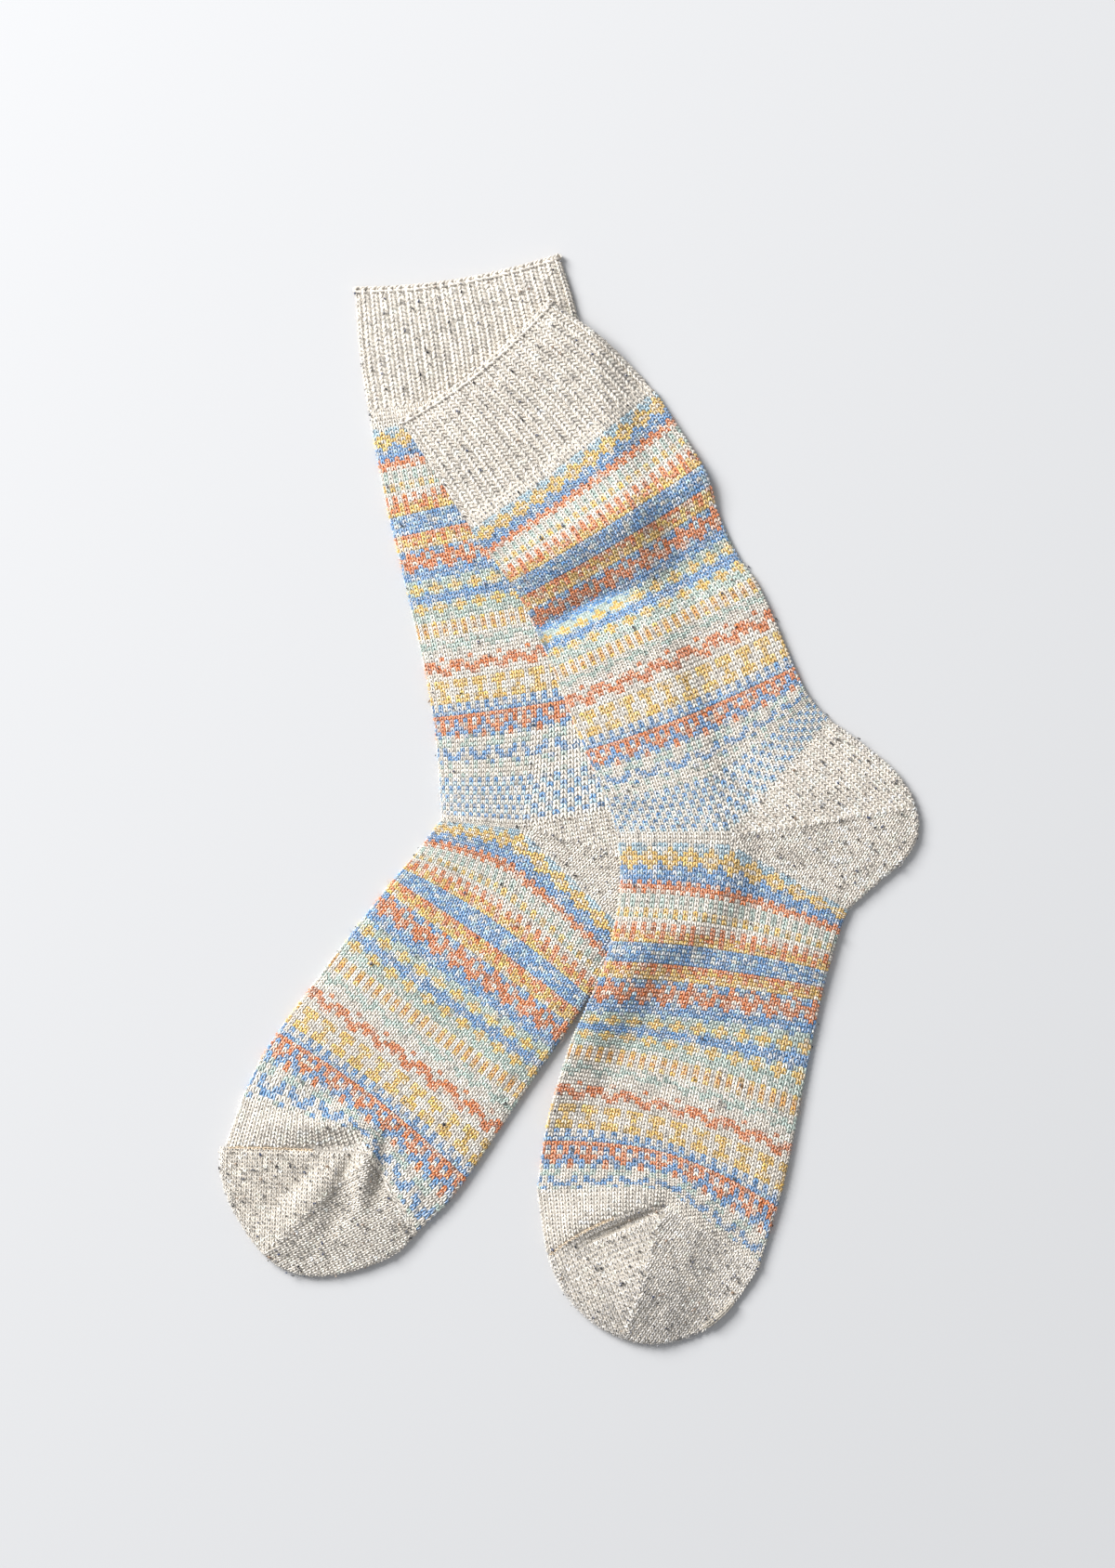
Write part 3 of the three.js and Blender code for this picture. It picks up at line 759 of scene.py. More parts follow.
def frames_of(half_grid):
    """Stitch centres, outward normals and course directions, with sizes, from a grid of half stitches."""
    centres = half_grid[1::2, 1::2]
    course_way = half_grid[2::2, 1::2] - half_grid[:-2:2, 1::2]
    across = half_grid[1::2, 2::2] - half_grid[1::2, :-2:2]
    outward = np.cross(course_way, across)
    outward /= np.maximum(np.linalg.norm(outward, axis=2, keepdims=True), 1e-9)
    sizes = np.stack((np.linalg.norm(across, axis=2), np.linalg.norm(course_way, axis=2),
                      np.full(across.shape[:2], STITCH_RISE)), axis=-1)
    return centres, outward, course_way, sizes


STITCH_RISE = 1.5
ROW_PITCH = 1.58
WALES_SHOWN_PAST_FOLD = 1
HIDDEN_BELOW = 5.0
INSTEP_MARGIN = 0.4
SOLE_OVERLAP = 0.75


def spans(rows, count, stretches=()):
    """Courses at half-row steps from one seam to the next. Stretches say how far along some rows lie."""
    steps = np.linspace(0, 1, 400)
    side_line = spline(rows, steps)[:, 2:4]
    along = np.concatenate(((0.0,), np.cumsum(np.linalg.norm(np.diff(side_line, axis=0), axis=1))))
    known = ((0, 0.0), *stretches, (count, along[-1]))
    known_rows, distances = zip(*known)
    reached = np.interp(np.arange(2 * count + 1) / 2, known_rows, distances)
    return spline(rows, np.interp(reached, along, steps))


def clipped_rows(block, shown, on_sole):
    """Full-height rows across a block of cloth that narrows: stitch frames, and which of them lie within it."""
    reach = np.linalg.norm(block[-1] - block[0], axis=1)
    down = (block[-1] - block[0]) / np.maximum(reach, 1e-9)[:, None]
    row_middles = (np.arange(int(reach.max() / ROW_PITCH)) + 0.5) * ROW_PITCH
    share = np.clip(row_middles[:, None] / np.maximum(reach, 0.1)[None], 0, 1)
    place = share * (len(block) - 1)
    first = np.minimum(place.astype(int), len(block) - 2)
    part = (place - first)[..., None]
    column = np.arange(block.shape[1])[None]
    grid = block[first, column] * (1 - part) + block[first + 1, column] * part
    centres = grid[:, 1::2]
    across = grid[:, 2::2] - grid[:, :-2:2]
    course_way = np.broadcast_to(down[None, 1::2] * ROW_PITCH, centres.shape)
    outward = np.cross(course_way, across)
    outward /= np.maximum(np.linalg.norm(outward, axis=2, keepdims=True), 1e-9)
    sizes = np.stack((np.linalg.norm(across, axis=2), np.full(across.shape[:2], ROW_PITCH),
                      np.full(across.shape[:2], STITCH_RISE)), axis=-1)
    overlap = np.where(on_sole, -SOLE_OVERLAP, INSTEP_MARGIN) * ROW_PITCH
    within = (row_middles[:, None] + overlap[None] < reach[None, 1::2]) & shown[None]
    return centres, outward, course_way, sizes, within


# What is spun into the yarn shows on every piece, so each piece's stitch frames are kept for it
shown_stitches = {}


def tube_piece(name, courses, chart, plain_rows, heights, knit_painted_shade, seed, cover=None):
    """A tube's shell and its stitches. Stitches that another sock covers are left out."""
    rng = np.random.default_rng(seed)
    around = np.arange(-4 * WALES_PER_HALF, 4 * WALES_PER_HALF + 1) / 2
    skin = sunk(tube_points(courses, around, heights, WALES_PER_HALF))
    wale = around[1::2]
    shown = np.abs(wale) < WALES_PER_HALF + WALES_SHOWN_PAST_FOLD
    colours = charted(chart + ("c",) * plain_rows, range(4 * WALES_PER_HALF))
    # Painted shade: the ground on top, seen between the stitches, is darkened; beneath it keeps its colours
    gap_painted_shade = np.where((np.abs(wale) < WALES_PER_HALF + 1)[None, :, None], PAINTED_GAP_SHADE, 1.0)
    ground = shell(name, skin[::2, ::2], colours * gap_painted_shade, True, (1, 1))
    charted_end = 2 * len(chart) + 1
    frames = [frames_of(skin[:charted_end]) + (np.tile(shown, (len(chart), 1)),)]
    if plain_rows:
        frames.append(clipped_rows(skin[charted_end - 1:], shown, wale > 0))
    centres, outward, course_way, sizes, wanted = (np.concatenate(parts) for parts in zip(*frames))
    stitch_colours = np.ones(centres.shape) * linear(YARNS["c"])
    stitch_colours[:len(chart)] = colours[:len(chart)]
    if cover is not None:
        wanted &= distance_outside(cover, centres[..., :2]) > -HIDDEN_BELOW
    # Painted shade: each part's stitches are darkened by its knit shade
    stitches = lay(f"{name}_stitches", stitch_nodes, banded_yarn, centres[wanted], outward[wanted],
                   course_way[wanted], sizes[wanted], marled(stitch_colours * knit_painted_shade, rng)[wanted], seed)
    shown_stitches[name] = (centres[wanted], outward[wanted], course_way[wanted], stitch_colours[wanted])
    return ground, stitches


def tube_outline(rows, end, steps=24):
    """One fold of a tube in plan, from its first course to its last."""
    courses = spline(rows, np.linspace(0, 1, steps))
    return courses[:, 0:2] if end == "front" else courses[:, 4:6]


def fan(reaches, corner_course, to_course, to_end, gore=0.5):
    """A pouch's fan round the side line's end: its middle, first direction, turn, rows of reach and gore."""
    corner = corner_course[2:4]
    start = corner_course[4:6] - corner
    end = (to_course[0:2] if to_end == "front" else to_course[4:6]) - corner
    first = math.atan2(start[1], start[0])
    turn = math.atan2(end[1], end[0]) - first
    while turn > 0:
        turn -= 2 * math.pi
    return {"pivot": corner, "first": first, "turn": turn, "reaches": np.array(reaches, float), "gore": gore}


def reach_at(pouch, share):
    """How far a pouch reaches at shares of its turn."""
    rows = pouch["reaches"]
    place = np.interp(share, rows[:, 0], np.linspace(0, 1, len(rows)))
    return spline(rows[:, 1], place)


def pouch_outline(pouch, steps=24):
    share = np.linspace(0, 1, steps)
    angle = pouch["first"] + pouch["turn"] * share
    reach = reach_at(pouch, share)
    return pouch["pivot"] + np.stack((reach * np.cos(angle), reach * np.sin(angle)), axis=-1)


# The reach of each heel and toe from its corner, at shares of its turn
UPPER_HEEL_REACH = ((0, 59.5), (0.17, 62.5), (0.36, 69.5), (0.51, 73.5), (0.65, 72), (0.84, 60.5), (1, 54.5))
LOWER_HEEL_REACH = ((0, 65), (0.25, 70), (0.45, 74), (0.65, 71.5), (0.85, 64), (1, 60.5))
UPPER_TOE_REACH = ((0, 43.5), (0.17, 46), (0.31, 50), (0.45, 53.5), (0.55, 55), (0.69, 54.5), (0.84, 53), (1, 50.5))
LOWER_TOE_REACH = ((0, 36), (0.1, 40), (0.24, 44), (0.35, 48.5), (0.46, 54), (0.57, 57.5), (0.73, 58), (0.9, 59.5),
                   (1, 59))
upper_heel = fan(UPPER_HEEL_REACH, UPPER_LEG[-1], UPPER_FOOT[0], "back")
lower_heel = fan(LOWER_HEEL_REACH, LOWER_LEG[-1], LOWER_FOOT[0], "back")
upper_toe = fan(UPPER_TOE_REACH, UPPER_TOE_EDGE, UPPER_TOE_EDGE, "front", 0.6)
lower_toe = fan(LOWER_TOE_REACH, LOWER_TOE_EDGE, LOWER_TOE_EDGE, "front", 0.62)

UPPER_CUFF = np.array((
    (-66.5, 147.0, -36.0, 167.0, -8.0, 194.0, 0.0),
    (-53.0, 126.5, -19.0, 150.0, 12.5, 179.0, 0.0),
    (-39.5, 104.5, -3.0, 130.5, 32.5, 159.5, 0.0),
))
LOWER_CUFF = np.array((
    (-85.0, 199.0, -45.5, 202.0, -5.0, 212.0, 0.0),
    (-83.0, 172.5, -41.0, 179.0, 1.5, 190.0, 0.0),
    (-79.0, 147.0, -38.0, 154.5, 3.5, 167.0, 0.0),
))


def outline_of(cuff, leg, heel, foot, toe):
    """The flat sock's whole outline in plan."""
    return np.concatenate((
        tube_outline(cuff, "front"), tube_outline(leg, "front"), tube_outline(foot, "front"),
        pouch_outline(toe)[::-1], tube_outline(foot, "back")[::-1], pouch_outline(heel)[::-1],
        tube_outline(leg, "back")[::-1], tube_outline(cuff, "back")[::-1],
    ))


upper_outline = outline_of(UPPER_CUFF, UPPER_LEG, upper_heel, UPPER_FOOT, upper_toe)
lower_outline = outline_of(LOWER_CUFF, LOWER_LEG, lower_heel, LOWER_FOOT, lower_toe)
upper_heights = Heights(upper_outline, UPPER_SWELLS, UPPER_CREASES, UPPER_TOE_EDGE, 4.0, lower_outline)
lower_heights = Heights(lower_outline, LOWER_SWELLS, LOWER_CREASES, LOWER_TOE_EDGE, 0.4)

CREAM_ROWS = ("c", "c")
UPPER_LEG_CHART = BANDS + ANKLE_DOTS * 3 + ("c",)
LOWER_LEG_CHART = CREAM_ROWS + BANDS + ANKLE_DOTS * 2 + ("bc", "c")
FOOT_CHART = CREAM_ROWS + BANDS[:86]

# Lying flat, the knit is crowded in some places and drawn out in others: how far down the side line, in
# millimetres, these rows lie.
UPPER_LEG_STRETCHES = ((6, 8.0), (8, 10.2), (17, 22.3), (31, 43.8), (54, 77.4), (59, 83.2), (71, 105.1),
                       (89, 135.8))
LOWER_LEG_STRETCHES = ((10, 14.1), (19, 28.4), (33, 51.8), (56, 88.2), (61, 96.4), (73, 115.7), (82, 130.9),
                       (91, 148.3))
UPPER_FOOT_STRETCHES = ((3, 5.8), (10, 20.4), (19, 37.2), (33, 59.5), (42, 75.2), (61, 105.8), (73, 123.4),
                        (82, 135.9))
LOWER_FOOT_STRETCHES = ((3, 2.9), (10, 14.6), (19, 30.3), (33, 54.4), (42, 69.3), (61, 99.3), (73, 118.3),
                        (82, 132.2))
INSTEP_STEPS = 8
LEG_LENGTH = 0.163
FOOT_LENGTH = 0.15


def foot_courses(rows, toe_edge, count, stretches):
    """The foot's courses at half-row steps, then the cream rows that close up to the toe's seam."""
    to_last = spans(rows, count, stretches)
    share = np.linspace(0, 1, 2 * INSTEP_STEPS + 1)[1:, None]
    return np.concatenate((to_last, rows[-1] + (toe_edge - rows[-1]) * share))


for sock, leg, leg_chart, leg_stretches, foot, foot_stretches, toe_edge, heights, painted_shades, cover, seed in (
        ("lower_sock", LOWER_LEG, LOWER_LEG_CHART, LOWER_LEG_STRETCHES, LOWER_FOOT, LOWER_FOOT_STRETCHES,
         LOWER_TOE_EDGE, lower_heights, (LOWER_LEG_PAINTED_SHADE, LOWER_FOOT_PAINTED_SHADE), upper_outline, 11),
        ("upper_sock", UPPER_LEG, UPPER_LEG_CHART, UPPER_LEG_STRETCHES, UPPER_FOOT, UPPER_FOOT_STRETCHES,
         UPPER_TOE_EDGE, upper_heights, (UPPER_LEG_PAINTED_SHADE, UPPER_FOOT_PAINTED_SHADE), None, 21)):
    leg_courses = spans(leg, len(leg_chart), leg_stretches)
    leg_ground, leg_stitches = tube_piece(f"{sock}_leg_knit", leg_courses, leg_chart, 0, heights, painted_shades[0],
                                          seed, cover)
    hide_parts(f"{sock}_leg")
    foot_grid = foot_courses(foot, toe_edge, len(FOOT_CHART), foot_stretches)
    foot_ground, foot_stitches = tube_piece(f"{sock}_foot_knit", foot_grid, FOOT_CHART, INSTEP_STEPS, heights,
                                            painted_shades[1], seed + 1, cover)
    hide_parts(f"{sock}_foot")
    for ground, stitches, length in ((leg_ground, leg_stitches, LEG_LENGTH),
                                     (foot_ground, foot_stitches, FOOT_LENGTH)):
        for piece in (ground, stitches):
            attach(piece, "root")


# Cuffs
# Each cuff is the start of the tube, in the cream yarn with dark flecks, knitted in a narrow rib that draws
# in and springs back. Knit columns stand up and purl columns sink between them.

RIBS_PER_HALF = 12
STEPS_PER_RIB = 4
CUFF_ROWS = 31
PLAIN_ROWS = 3
RIB_DEPTH = 0.55
# Painted shade: how much darker the ground is painted in the rib valleys
VALLEY_PAINTED_SHADE = 0.2
CUFF_STITCH_RISE = 1.0
RIM_LOOP = np.array((3.2, 2.2, 2.2))
PURL_LOOP = np.array((1.5, 1.1, 1.0))

cream_yarn = knit_material("flecked_cream_yarn", 0.35, False)

for sock, cuff, heights, cover, seed in (("lower_sock", LOWER_CUFF, lower_heights, upper_outline, 31),
                                         ("upper_sock", UPPER_CUFF, upper_heights, None, 41)):
    rng = np.random.default_rng(seed)
    courses = spans(cuff, CUFF_ROWS)
    around = np.arange(-2 * RIBS_PER_HALF * STEPS_PER_RIB, 2 * RIBS_PER_HALF * STEPS_PER_RIB + 1) / STEPS_PER_RIB
    skin = sunk(tube_points(courses, around, heights, RIBS_PER_HALF))
    valley = np.abs(np.cos(np.pi * around)) ** 4
    on_top = np.clip(RIBS_PER_HALF + 0.5 - np.abs(around), 0, 1)
    row = np.arange(2 * CUFF_ROWS + 1) / 2
    ribbed = np.clip(CUFF_ROWS - PLAIN_ROWS + 0.5 - row, 0, 1)
    valleys = valley[None] * ribbed[:, None]
    skin[..., 2] -= on_top[None] * RIB_DEPTH * valleys
    # Painted shade: the ground between the stitches is darkened, more in the rib valleys, and not beneath
    darker = 1 - CUFF_PAINTED_GAP_SHADE + VALLEY_PAINTED_SHADE * valleys[1::2]
    gap_painted_shade = 1 - on_top * darker
    face_painted_shade = (gap_painted_shade[:, 1:] + gap_painted_shade[:, :-1]) / 2
    cream = face_painted_shade[..., None] * linear(CREAM_GAP)
    ground = shell(f"{sock}_cuff_knit", skin[::2], cream, True, (1 / STEPS_PER_RIB, 1))
    half_rib = STEPS_PER_RIB // 2
    middles = skin[:, half_rib::STEPS_PER_RIB]
    edges = tube_points(courses, around[::STEPS_PER_RIB], heights, RIBS_PER_HALF)
    across = edges[1::2, 1:] - edges[1::2, :-1]
    course_way = middles[2::2] - middles[:-2:2]
    outward = np.cross(course_way, across)
    outward /= np.maximum(np.linalg.norm(outward, axis=2, keepdims=True), 1e-9)
    sizes = np.stack((np.linalg.norm(across, axis=2), np.linalg.norm(course_way, axis=2),
                      np.full(across.shape[:2], CUFF_STITCH_RISE)), axis=-1)
    rib = around[half_rib::STEPS_PER_RIB]
    centres = middles[1::2]
    wanted = np.tile(np.abs(rib) < RIBS_PER_HALF + 1, (CUFF_ROWS, 1))

    # Purl loops lie across the valleys, but the last rows are knitted plain. A chain of larger loops is the rim
    plain = (np.arange(CUFF_ROWS) >= CUFF_ROWS - PLAIN_ROWS)[:, None, None]
    sizes = np.where(plain, sizes * (0.55, 1, 1), sizes)
    purl_way = np.where(plain, course_way[:, 1:], across[:, 1:])
    purl_sizes = np.where(plain, sizes[:, 1:], PURL_LOOP)
    purl = skin[1::2, STEPS_PER_RIB:-1:STEPS_PER_RIB] + outward[:, 1:] * 0.1
    purl_wanted = np.tile(np.abs(around[STEPS_PER_RIB:-1:STEPS_PER_RIB]) < RIBS_PER_HALF, (CUFF_ROWS, 1))
    rim = skin[0, ::half_rib][:-1] + outward[0].repeat(2, axis=0) * 0.3 - course_way[0].repeat(2, axis=0) * 0.05
    rim_wanted = np.abs(around[::half_rib][:-1]) < RIBS_PER_HALF + 0.3
    if cover is not None:
        wanted &= distance_outside(cover, centres[..., :2]) > -HIDDEN_BELOW
        purl_wanted &= distance_outside(cover, purl[..., :2]) > -HIDDEN_BELOW
        rim_wanted &= distance_outside(cover, rim[:, :2]) > -HIDDEN_BELOW
    knit_frames = (centres[wanted], outward[wanted], course_way[wanted], sizes[wanted])
    purl_frames = (purl[purl_wanted], outward[:, 1:][purl_wanted], purl_way[purl_wanted],
                   purl_sizes[purl_wanted])
    rim_frames = (rim[rim_wanted], outward[0].repeat(2, axis=0)[rim_wanted],
                  across[0].repeat(2, axis=0)[rim_wanted], np.tile(RIM_LOOP, (rim_wanted.sum(), 1)))
    frames = [np.concatenate(parts) for parts in zip(knit_frames, purl_frames, rim_frames)]
    # Painted shade: the cuff's stitches are darkened
    cream_stitches = marled(np.ones(frames[0].shape) * linear(YARNS["c"]) * CUFF_KNIT_PAINTED_SHADE, rng)
    stitches = lay(f"{sock}_cuff_stitches", stitch_nodes, cream_yarn, *frames, cream_stitches, seed,
                   **{"Yarn Radius": 0.25, "Bend Spread": 0.2, "Foot Spread": 0.36, "Rise": 0.6})
    shown_stitches[f"{sock}_cuff"] = (*knit_frames[:3], np.ones(knit_frames[0].shape) * linear(YARNS["c"]))
    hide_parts(f"{sock}_cuff")
    for piece in (ground, stitches):
        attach(piece, "root")


# Heels and toes
# A heel or a toe is a pouch of plain cream rows. They shorten to a point and lengthen again, and the line of
# joined turns runs out from the corner on the side of the sock. The toe's last row is linked to the instep.

POUCH_WALE = 2.0
POUCH_FIRST_ROW = 0.3
POUCH_SHARES = 36
POUCH_RING_TOP = 26
POUCH_RING_UNDER = 14
GORE_RISE = 0.5
GORE_WIDTH = 1.6
POUCH_SIZES = {
    "lower_sock_heel": (0.13, 0.07, 0.0050),
    "upper_sock_heel": (0.13, 0.08, 0.0058),
    "lower_sock_toe": (0.12, 0.08, 0.0060),
    "upper_sock_toe": (0.12, 0.08, 0.0058),
}


def pouch_skin(pouch, heights, plane):
    """Points of the pouch's top at places measured along the cloth from the pivot, over the fold too."""
    reach = np.linalg.norm(plane, axis=-1)
    angle = np.arctan2(plane[..., 1], plane[..., 0])
    before_first = 0.5
    turned = np.mod(angle - pouch["first"] - before_first, -2 * math.pi) + before_first
    share = turned / pouch["turn"]
    inner_share = np.clip(share, 0, 1)
    edge = reach_at(pouch, inner_share)
    way = plane / np.maximum(reach, 1e-9)[..., None]
    radius = heights.thick(pouch["pivot"] + way * edge[..., None]) / 2
    flat = edge - radius
    lean = np.clip((reach - flat) / radius, 0, math.pi)
    plan_reach = np.where(lean > 0, flat + radius * np.sin(lean), reach)
    plan = heights.bowed(pouch["pivot"] + way * plan_reach[..., None])
    gore_distance = np.abs((share - pouch["gore"]) * pouch["turn"]) * reach
    gore = GORE_RISE * np.exp(-(gore_distance / GORE_WIDTH) ** 2) * np.clip(reach / 8, 0, 1)
    top = np.where(lean > 0, radius * (1 + np.cos(lean)), heights.thick(plan))
    top = top + (heights.ripple(plan) + gore) * np.clip(np.cos(lean), 0, 1)
    return np.concatenate((plan, (heights.under(plan) + top)[..., None]), axis=-1), share, lean


def pouch_shell_points(pouch, heights):
    """The pouch's skin as a grid: a row for each direction, out over the top, round the fold and back."""
    share = np.linspace(0, 1, POUCH_SHARES + 1)
    angle = pouch["first"] + pouch["turn"] * share
    way = np.stack((np.cos(angle), np.sin(angle)), axis=-1)
    edge = reach_at(pouch, share)
    radius = heights.thick(pouch["pivot"] + way * edge[:, None]) / 2
    full = edge - radius + radius * math.pi / 2
    start_reach = 0.8
    out = start_reach + (full - start_reach)[:, None] * np.linspace(0, 1, POUCH_RING_TOP + 1)[None]
    top = pouch_skin(pouch, heights, way[:, None] * out[..., None])[0]
    back = np.linspace(1, 0, POUCH_RING_UNDER + 1)[1:]
    arc = start_reach + (full - start_reach)[:, None] * back[None]
    flat = (edge - radius)[:, None]
    lean = np.clip((arc - flat) / radius[:, None], 0, math.pi / 2)
    plan_reach = np.where(lean > 0, flat + radius[:, None] * np.sin(lean), arc)
    plan = heights.bowed(pouch["pivot"] + way[:, None] * plan_reach[..., None])
    z = heights.under(plan) + radius[:, None] * (1 - np.cos(lean))
    return np.concatenate((top, np.concatenate((plan, z[..., None]), axis=-1)), axis=1)


def pouch_stitches(pouch, heights):
    """Stitch frames of a pouch: rows beside the first edge, then rows beside the last, meeting at the gore."""
    found = []
    limit = pouch["reaches"][:, 1].max() + 6
    for edge_share, row_sign in ((0, 1), (1, -1)):
        angle = pouch["first"] + pouch["turn"] * edge_share
        along = np.array((math.cos(angle), math.sin(angle)))
        inward = np.array((math.sin(angle), -math.cos(angle))) * row_sign
        wales = (np.arange(int(limit / POUCH_WALE)) + 0.5) * POUCH_WALE
        rows = (np.arange(int(limit / ROW_PITCH)) + POUCH_FIRST_ROW) * ROW_PITCH
        u, v = np.meshgrid(wales, rows, indexing="ij")
        plane = u[..., None] * along + v[..., None] * inward
        inside = np.arctan2(v, u) < abs(pouch["turn"] * (pouch["gore"] - edge_share))
        plane = plane[inside]
        centre, share, lean = pouch_skin(pouch, heights, plane)
        step = 0.4
        knit_way = inward * row_sign
        course_way = pouch_skin(pouch, heights, plane + knit_way * step)[0] - pouch_skin(
            pouch, heights, plane - knit_way * step)[0]
        across = pouch_skin(pouch, heights, plane + along * step)[0] - pouch_skin(
            pouch, heights, plane - along * step)[0]
        outward = np.cross(across, course_way)
        outward *= np.where(outward[:, 2:3] < 0, -1, 1)
        outward /= np.maximum(np.linalg.norm(outward, axis=1, keepdims=True), 1e-9)
        centre = centre - outward * SHELL_DEPTH
        kept = lean < math.pi * 0.47
        found.append((centre[kept], outward[kept], course_way[kept]))
    return [np.concatenate(parts) for parts in zip(*found)]


for sock, part, pouch, heights, cover, seed in (
        ("lower_sock", "heel", lower_heel, lower_heights, upper_outline, 51),
        ("lower_sock", "toe", lower_toe, lower_heights, upper_outline, 52),
        ("upper_sock", "heel", upper_heel, upper_heights, None, 53),
        ("upper_sock", "toe", upper_toe, upper_heights, None, 54)):
    rng = np.random.default_rng(seed)
    skin = sunk(pouch_shell_points(pouch, heights), closed=False)
    ring = skin.shape[1] - 1
    # Painted shade: the ground under the stitches on top is darkened, and not beneath
    shade = np.where(np.arange(ring) < POUCH_RING_TOP, POUCH_PAINTED_GAP_SHADE, 1.0)
    cream = np.ones((POUCH_SHARES, ring, 1)) * shade[None, :, None] * linear(CREAM_GAP)
    ground = shell(f"{sock}_{part}_knit", skin, cream, False, (1.8, 1.33))
    centres, outward, course_way = pouch_stitches(pouch, heights)
    wanted = np.ones(len(centres), bool)
    if cover is not None:
        wanted = distance_outside(cover, centres[:, :2]) > -HIDDEN_BELOW
    sizes = np.tile((POUCH_WALE, ROW_PITCH, STITCH_RISE), (len(centres), 1))
    # Painted shade: each heel's and toe's stitches are darkened, the toes to a cooler grey
    knit_painted_shade = POUCH_PAINTED_SHADES[f"{sock}_{part}"]
    cream_stitches = marled(np.ones(centres.shape) * linear(YARNS["c"]) * knit_painted_shade, rng)
    stitches = lay(f"{sock}_{part}_stitches", stitch_nodes, cream_yarn, centres[wanted], outward[wanted],
                   course_way[wanted], sizes[wanted], cream_stitches[wanted], seed)
    shown_stitches[f"{sock}_{part}"] = (centres[wanted], outward[wanted], course_way[wanted],
                                        np.ones((wanted.sum(), 3)) * linear(YARNS["c"]))
    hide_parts(f"{sock}_{part}")
    for piece in (ground, stitches):
        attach(piece, "root")
    width, length, area = POUCH_SIZES[f"{sock}_{part}"]


# Toe seams
# The toe's last row is linked to the instep, loop by loop, with one thread of tan cotton. The line of small
# loops lies in a groove from the front fold over the first part of the seam, toward the corner of the toe.

SEAM_THREAD = (232, 208, 176)
SEAM_LOOP = np.array((1.3, 1.7, 0.9))
SEAM_STEP = 1.5
SEAM_SHOWN = 0.6

thread_yarn = knit_material("linking_thread", 0.1, False)

for sock, toe_edge, heights, seed in (("lower_sock", LOWER_TOE_EDGE, lower_heights, 61),
                                      ("upper_sock", UPPER_TOE_EDGE, upper_heights, 62)):
    start = toe_edge[0:2]
    corner = toe_edge[2:4]
    length = np.linalg.norm(corner - start)
    way = (corner - start) / length
    reach = np.arange(2.2, SEAM_SHOWN * length, SEAM_STEP)
    plan = heights.bowed(start + way * reach[:, None])
    height = heights.under(plan) + heights.thick(plan) + heights.ripple(plan) - 0.25
    centres = np.concatenate((plan, height[:, None]), axis=1)
    count = len(centres)
    loops = lay(f"{sock}_toe_seam", stitch_nodes, thread_yarn, centres, np.tile((0.0, 0.0, 1.0), (count, 1)),
                np.tile((*way, 0.0), (count, 1)), np.tile(SEAM_LOOP, (count, 1)),
                np.tile(linear(SEAM_THREAD), (count, 1)), seed)
    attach(loops, "root")


# Flecks and fuzz
# Dark neps of wool and cotton are spun into the yarn, close together in the cream and sparse in the bands.
# Loose fibre ends stand off the surface and along the folds.

FLECKS = (
    ((34, 34, 42), 0.36),
    ((58, 68, 96), 0.26),
    ((104, 104, 108), 0.26),
    ((140, 116, 96), 0.12),
)
CREAM_FLECKS_PER_STITCH = 0.26
BAND_FLECKS_PER_STITCH = 0.02
FIBRES_PER_STITCH = 0.06
FLECK_LIFT = 1.0
FIBRE_LIFT = 0.7


def fleck_shape(tree, inputs):
    """A small lump, rounded, with few faces."""
    lump = tree.nodes.new("GeometryNodeMeshIcoSphere")
    lump.inputs["Radius"].default_value = 0.5
    lump.inputs["Subdivisions"].default_value = 1
    return lump.outputs["Mesh"]


def fibre_shape(tree, inputs):
    """A fibre that springs from the yarn in a low bow."""
    points = (((None, 0.0), (None, -0.5), (None, 0.0)), ((None, 0.3), (None, 0.0), (None, 0.6)),
              ((None, -0.1), (None, 0.5), (None, 0.1)))
    return bent_yarn(tree, points, inputs.outputs["Fibre Radius"], 0.5)


fleck_nodes = laying_tree("spun_in_flecks", (), fleck_shape)
fibre_nodes = laying_tree("loose_fibres", (("Fibre Radius", 0.012),), fibre_shape)
fleck_wool = knit_material("fleck_wool", 0.1, False)
fibre_cotton = knit_material("loose_cotton", 0.1, False)

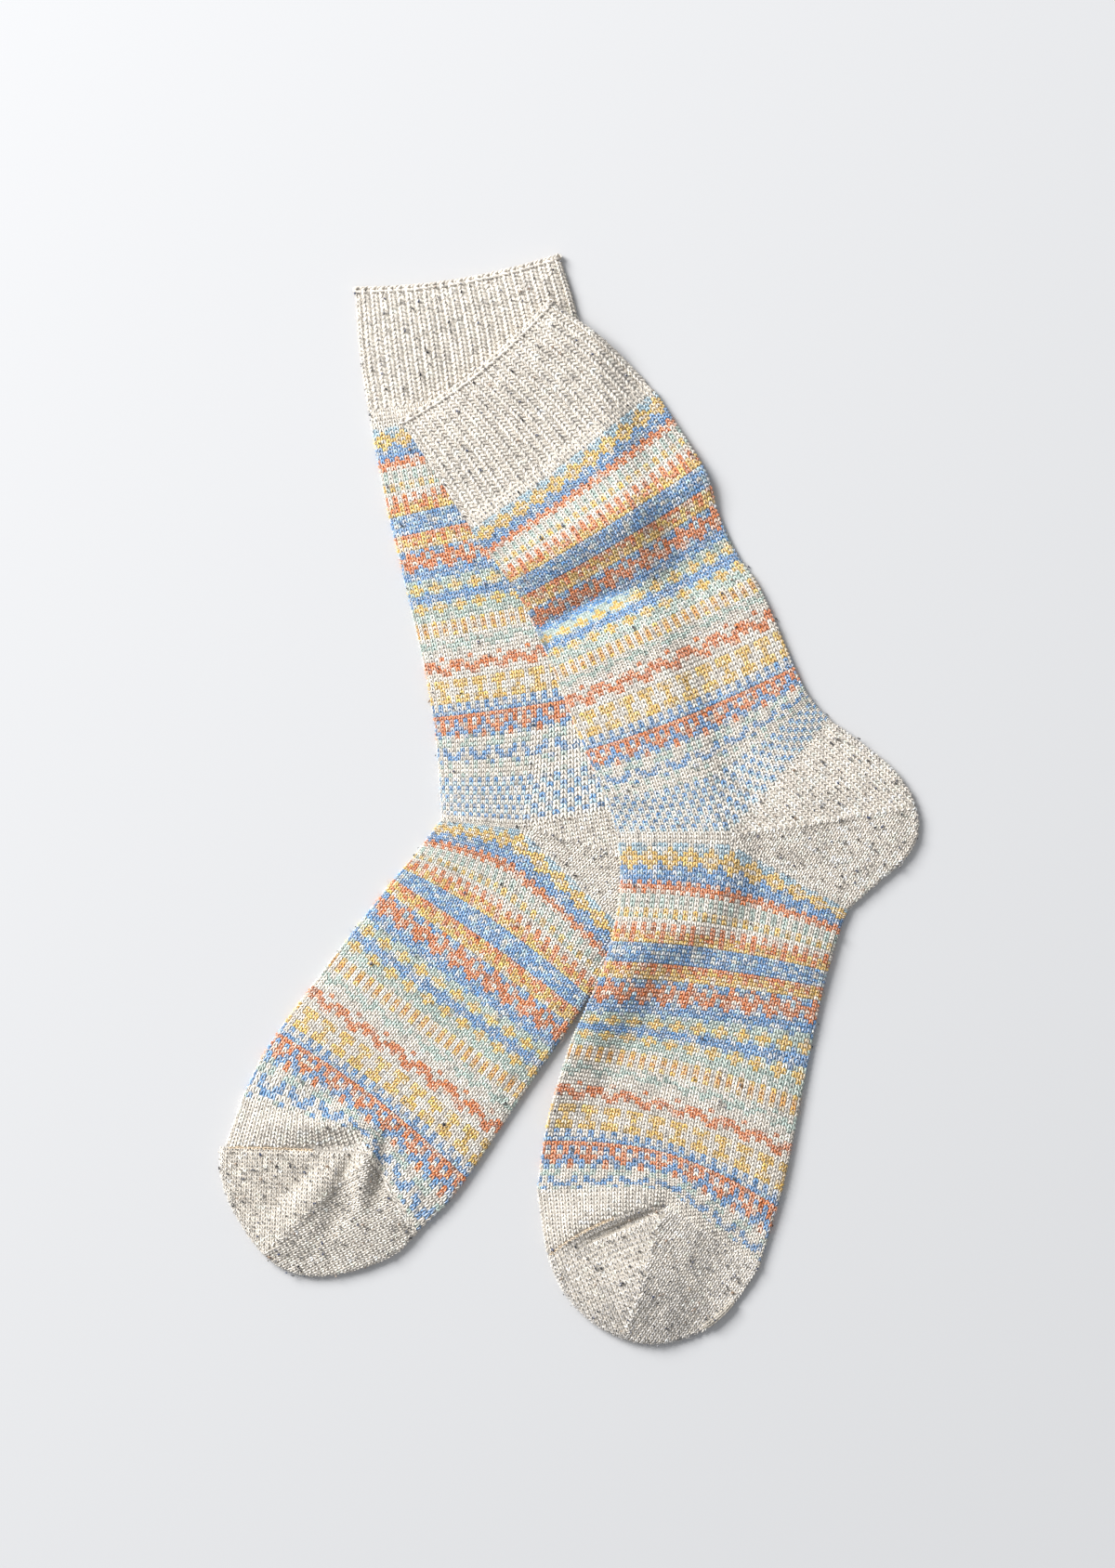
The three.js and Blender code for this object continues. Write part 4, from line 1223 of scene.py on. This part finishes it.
for sock, seed in (("lower_sock", 71), ("upper_sock", 81)):
    rng = np.random.default_rng(seed)
    flecks = []
    fibres = []
    for name, (centres, outward, course_way, colours) in shown_stitches.items():
        if not name.startswith(sock):
            continue
        share = BAND_FLECKS_PER_STITCH if name.endswith("_knit") else CREAM_FLECKS_PER_STITCH
        picked = np.flatnonzero(rng.random(len(centres)) < share)
        aside = rng.uniform(-0.6, 0.6, (len(picked), 3))
        size = rng.random(len(picked)) ** 4
        kinds = rng.choice(len(FLECKS), len(picked), p=[weight for _, weight in FLECKS])
        flecks.append((centres[picked] + outward[picked] * FLECK_LIFT + aside * (1, 1, 0.1), outward[picked],
                       course_way[picked] + aside * 1.5,
                       np.stack((0.5 + 0.7 * size, 0.8 + 1.2 * size, 0.5 + 0.3 * size), axis=-1),
                       np.array([linear(FLECKS[kind][0]) for kind in kinds]).reshape(-1, 3)))
        picked = np.flatnonzero(rng.random(len(centres)) < FIBRES_PER_STITCH)
        length = rng.uniform(1.6, 4.5, len(picked))
        fibres.append((centres[picked] + outward[picked] * FIBRE_LIFT, outward[picked],
                       rng.standard_normal((len(picked), 3)), np.tile(length[:, None], (1, 3)),
                       colours[picked] * 0.5 + linear(YARNS["c"]) * 0.5))
    for kind, nodes, yarn, frames, turn_jitter in (("flecks", fleck_nodes, fleck_wool, flecks, 0.3),
                                                   ("fuzz", fibre_nodes, fibre_cotton, fibres, 0.5)):
        made = lay(f"{sock}_{kind}", nodes, yarn, *(np.concatenate(parts) for parts in zip(*frames)), seed,
                   **{"Turn Jitter": turn_jitter})
        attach(made, "root")


# Floor, light and camera
# A plain pale floor, a large soft light from the upper left and a camera straight above, as in the photo.

floor_mesh = bpy.data.meshes.new("floor")
FLOOR_REACH = 1.6
floor_mesh.from_pydata([(-FLOOR_REACH, -FLOOR_REACH, 0), (FLOOR_REACH, -FLOOR_REACH, 0),
                        (FLOOR_REACH, FLOOR_REACH, 0), (-FLOOR_REACH, FLOOR_REACH, 0)], [], [(0, 1, 2, 3)])
floor = bpy.data.objects.new("floor", floor_mesh)
bpy.context.scene.collection.objects.link(floor)
paper = bpy.data.materials.new("pale_floor")
paper.use_nodes = True
paper.node_tree.nodes["Principled BSDF"].inputs["Base Color"].default_value = (0.588, 0.588, 0.594, 1)
paper.node_tree.nodes["Principled BSDF"].inputs["Roughness"].default_value = 0.9
floor_mesh.materials.append(paper)

world = bpy.data.worlds.new("soft_room")
world.use_nodes = True
world.node_tree.nodes["Background"].inputs["Color"].default_value = (0.93, 0.96, 1.0, 1)
world.node_tree.nodes["Background"].inputs["Strength"].default_value = 0.46
bpy.context.scene.world = world
bpy.context.scene.view_settings.view_transform = "Standard"

window = bpy.data.lights.new("window", "AREA")
window.shape = "RECTANGLE"
window.size = 2.0
window.size_y = 2.0
window.energy = 248
window_stand = bpy.data.objects.new("window", window)
window_stand.location = (-2.4, 1.9, 2.2)
window_stand.rotation_euler = (Vector((0, 0, 0)) - window_stand.location).to_track_quat("-Z", "Y").to_euler()
bpy.context.scene.collection.objects.link(window_stand)

PHOTO_HEIGHT = 1688 * 0.365 * MILLIMETRE
CAMERA_HEIGHT = 2.2
camera_data = bpy.data.cameras.new("camera")
camera_data.sensor_width = 36
camera_data.lens = camera_data.sensor_width * CAMERA_HEIGHT / PHOTO_HEIGHT
camera = bpy.data.objects.new("camera", camera_data)
camera.location = (-0.00471, 0.00669, CAMERA_HEIGHT)
bpy.context.scene.collection.objects.link(camera)
bpy.context.scene.camera = camera
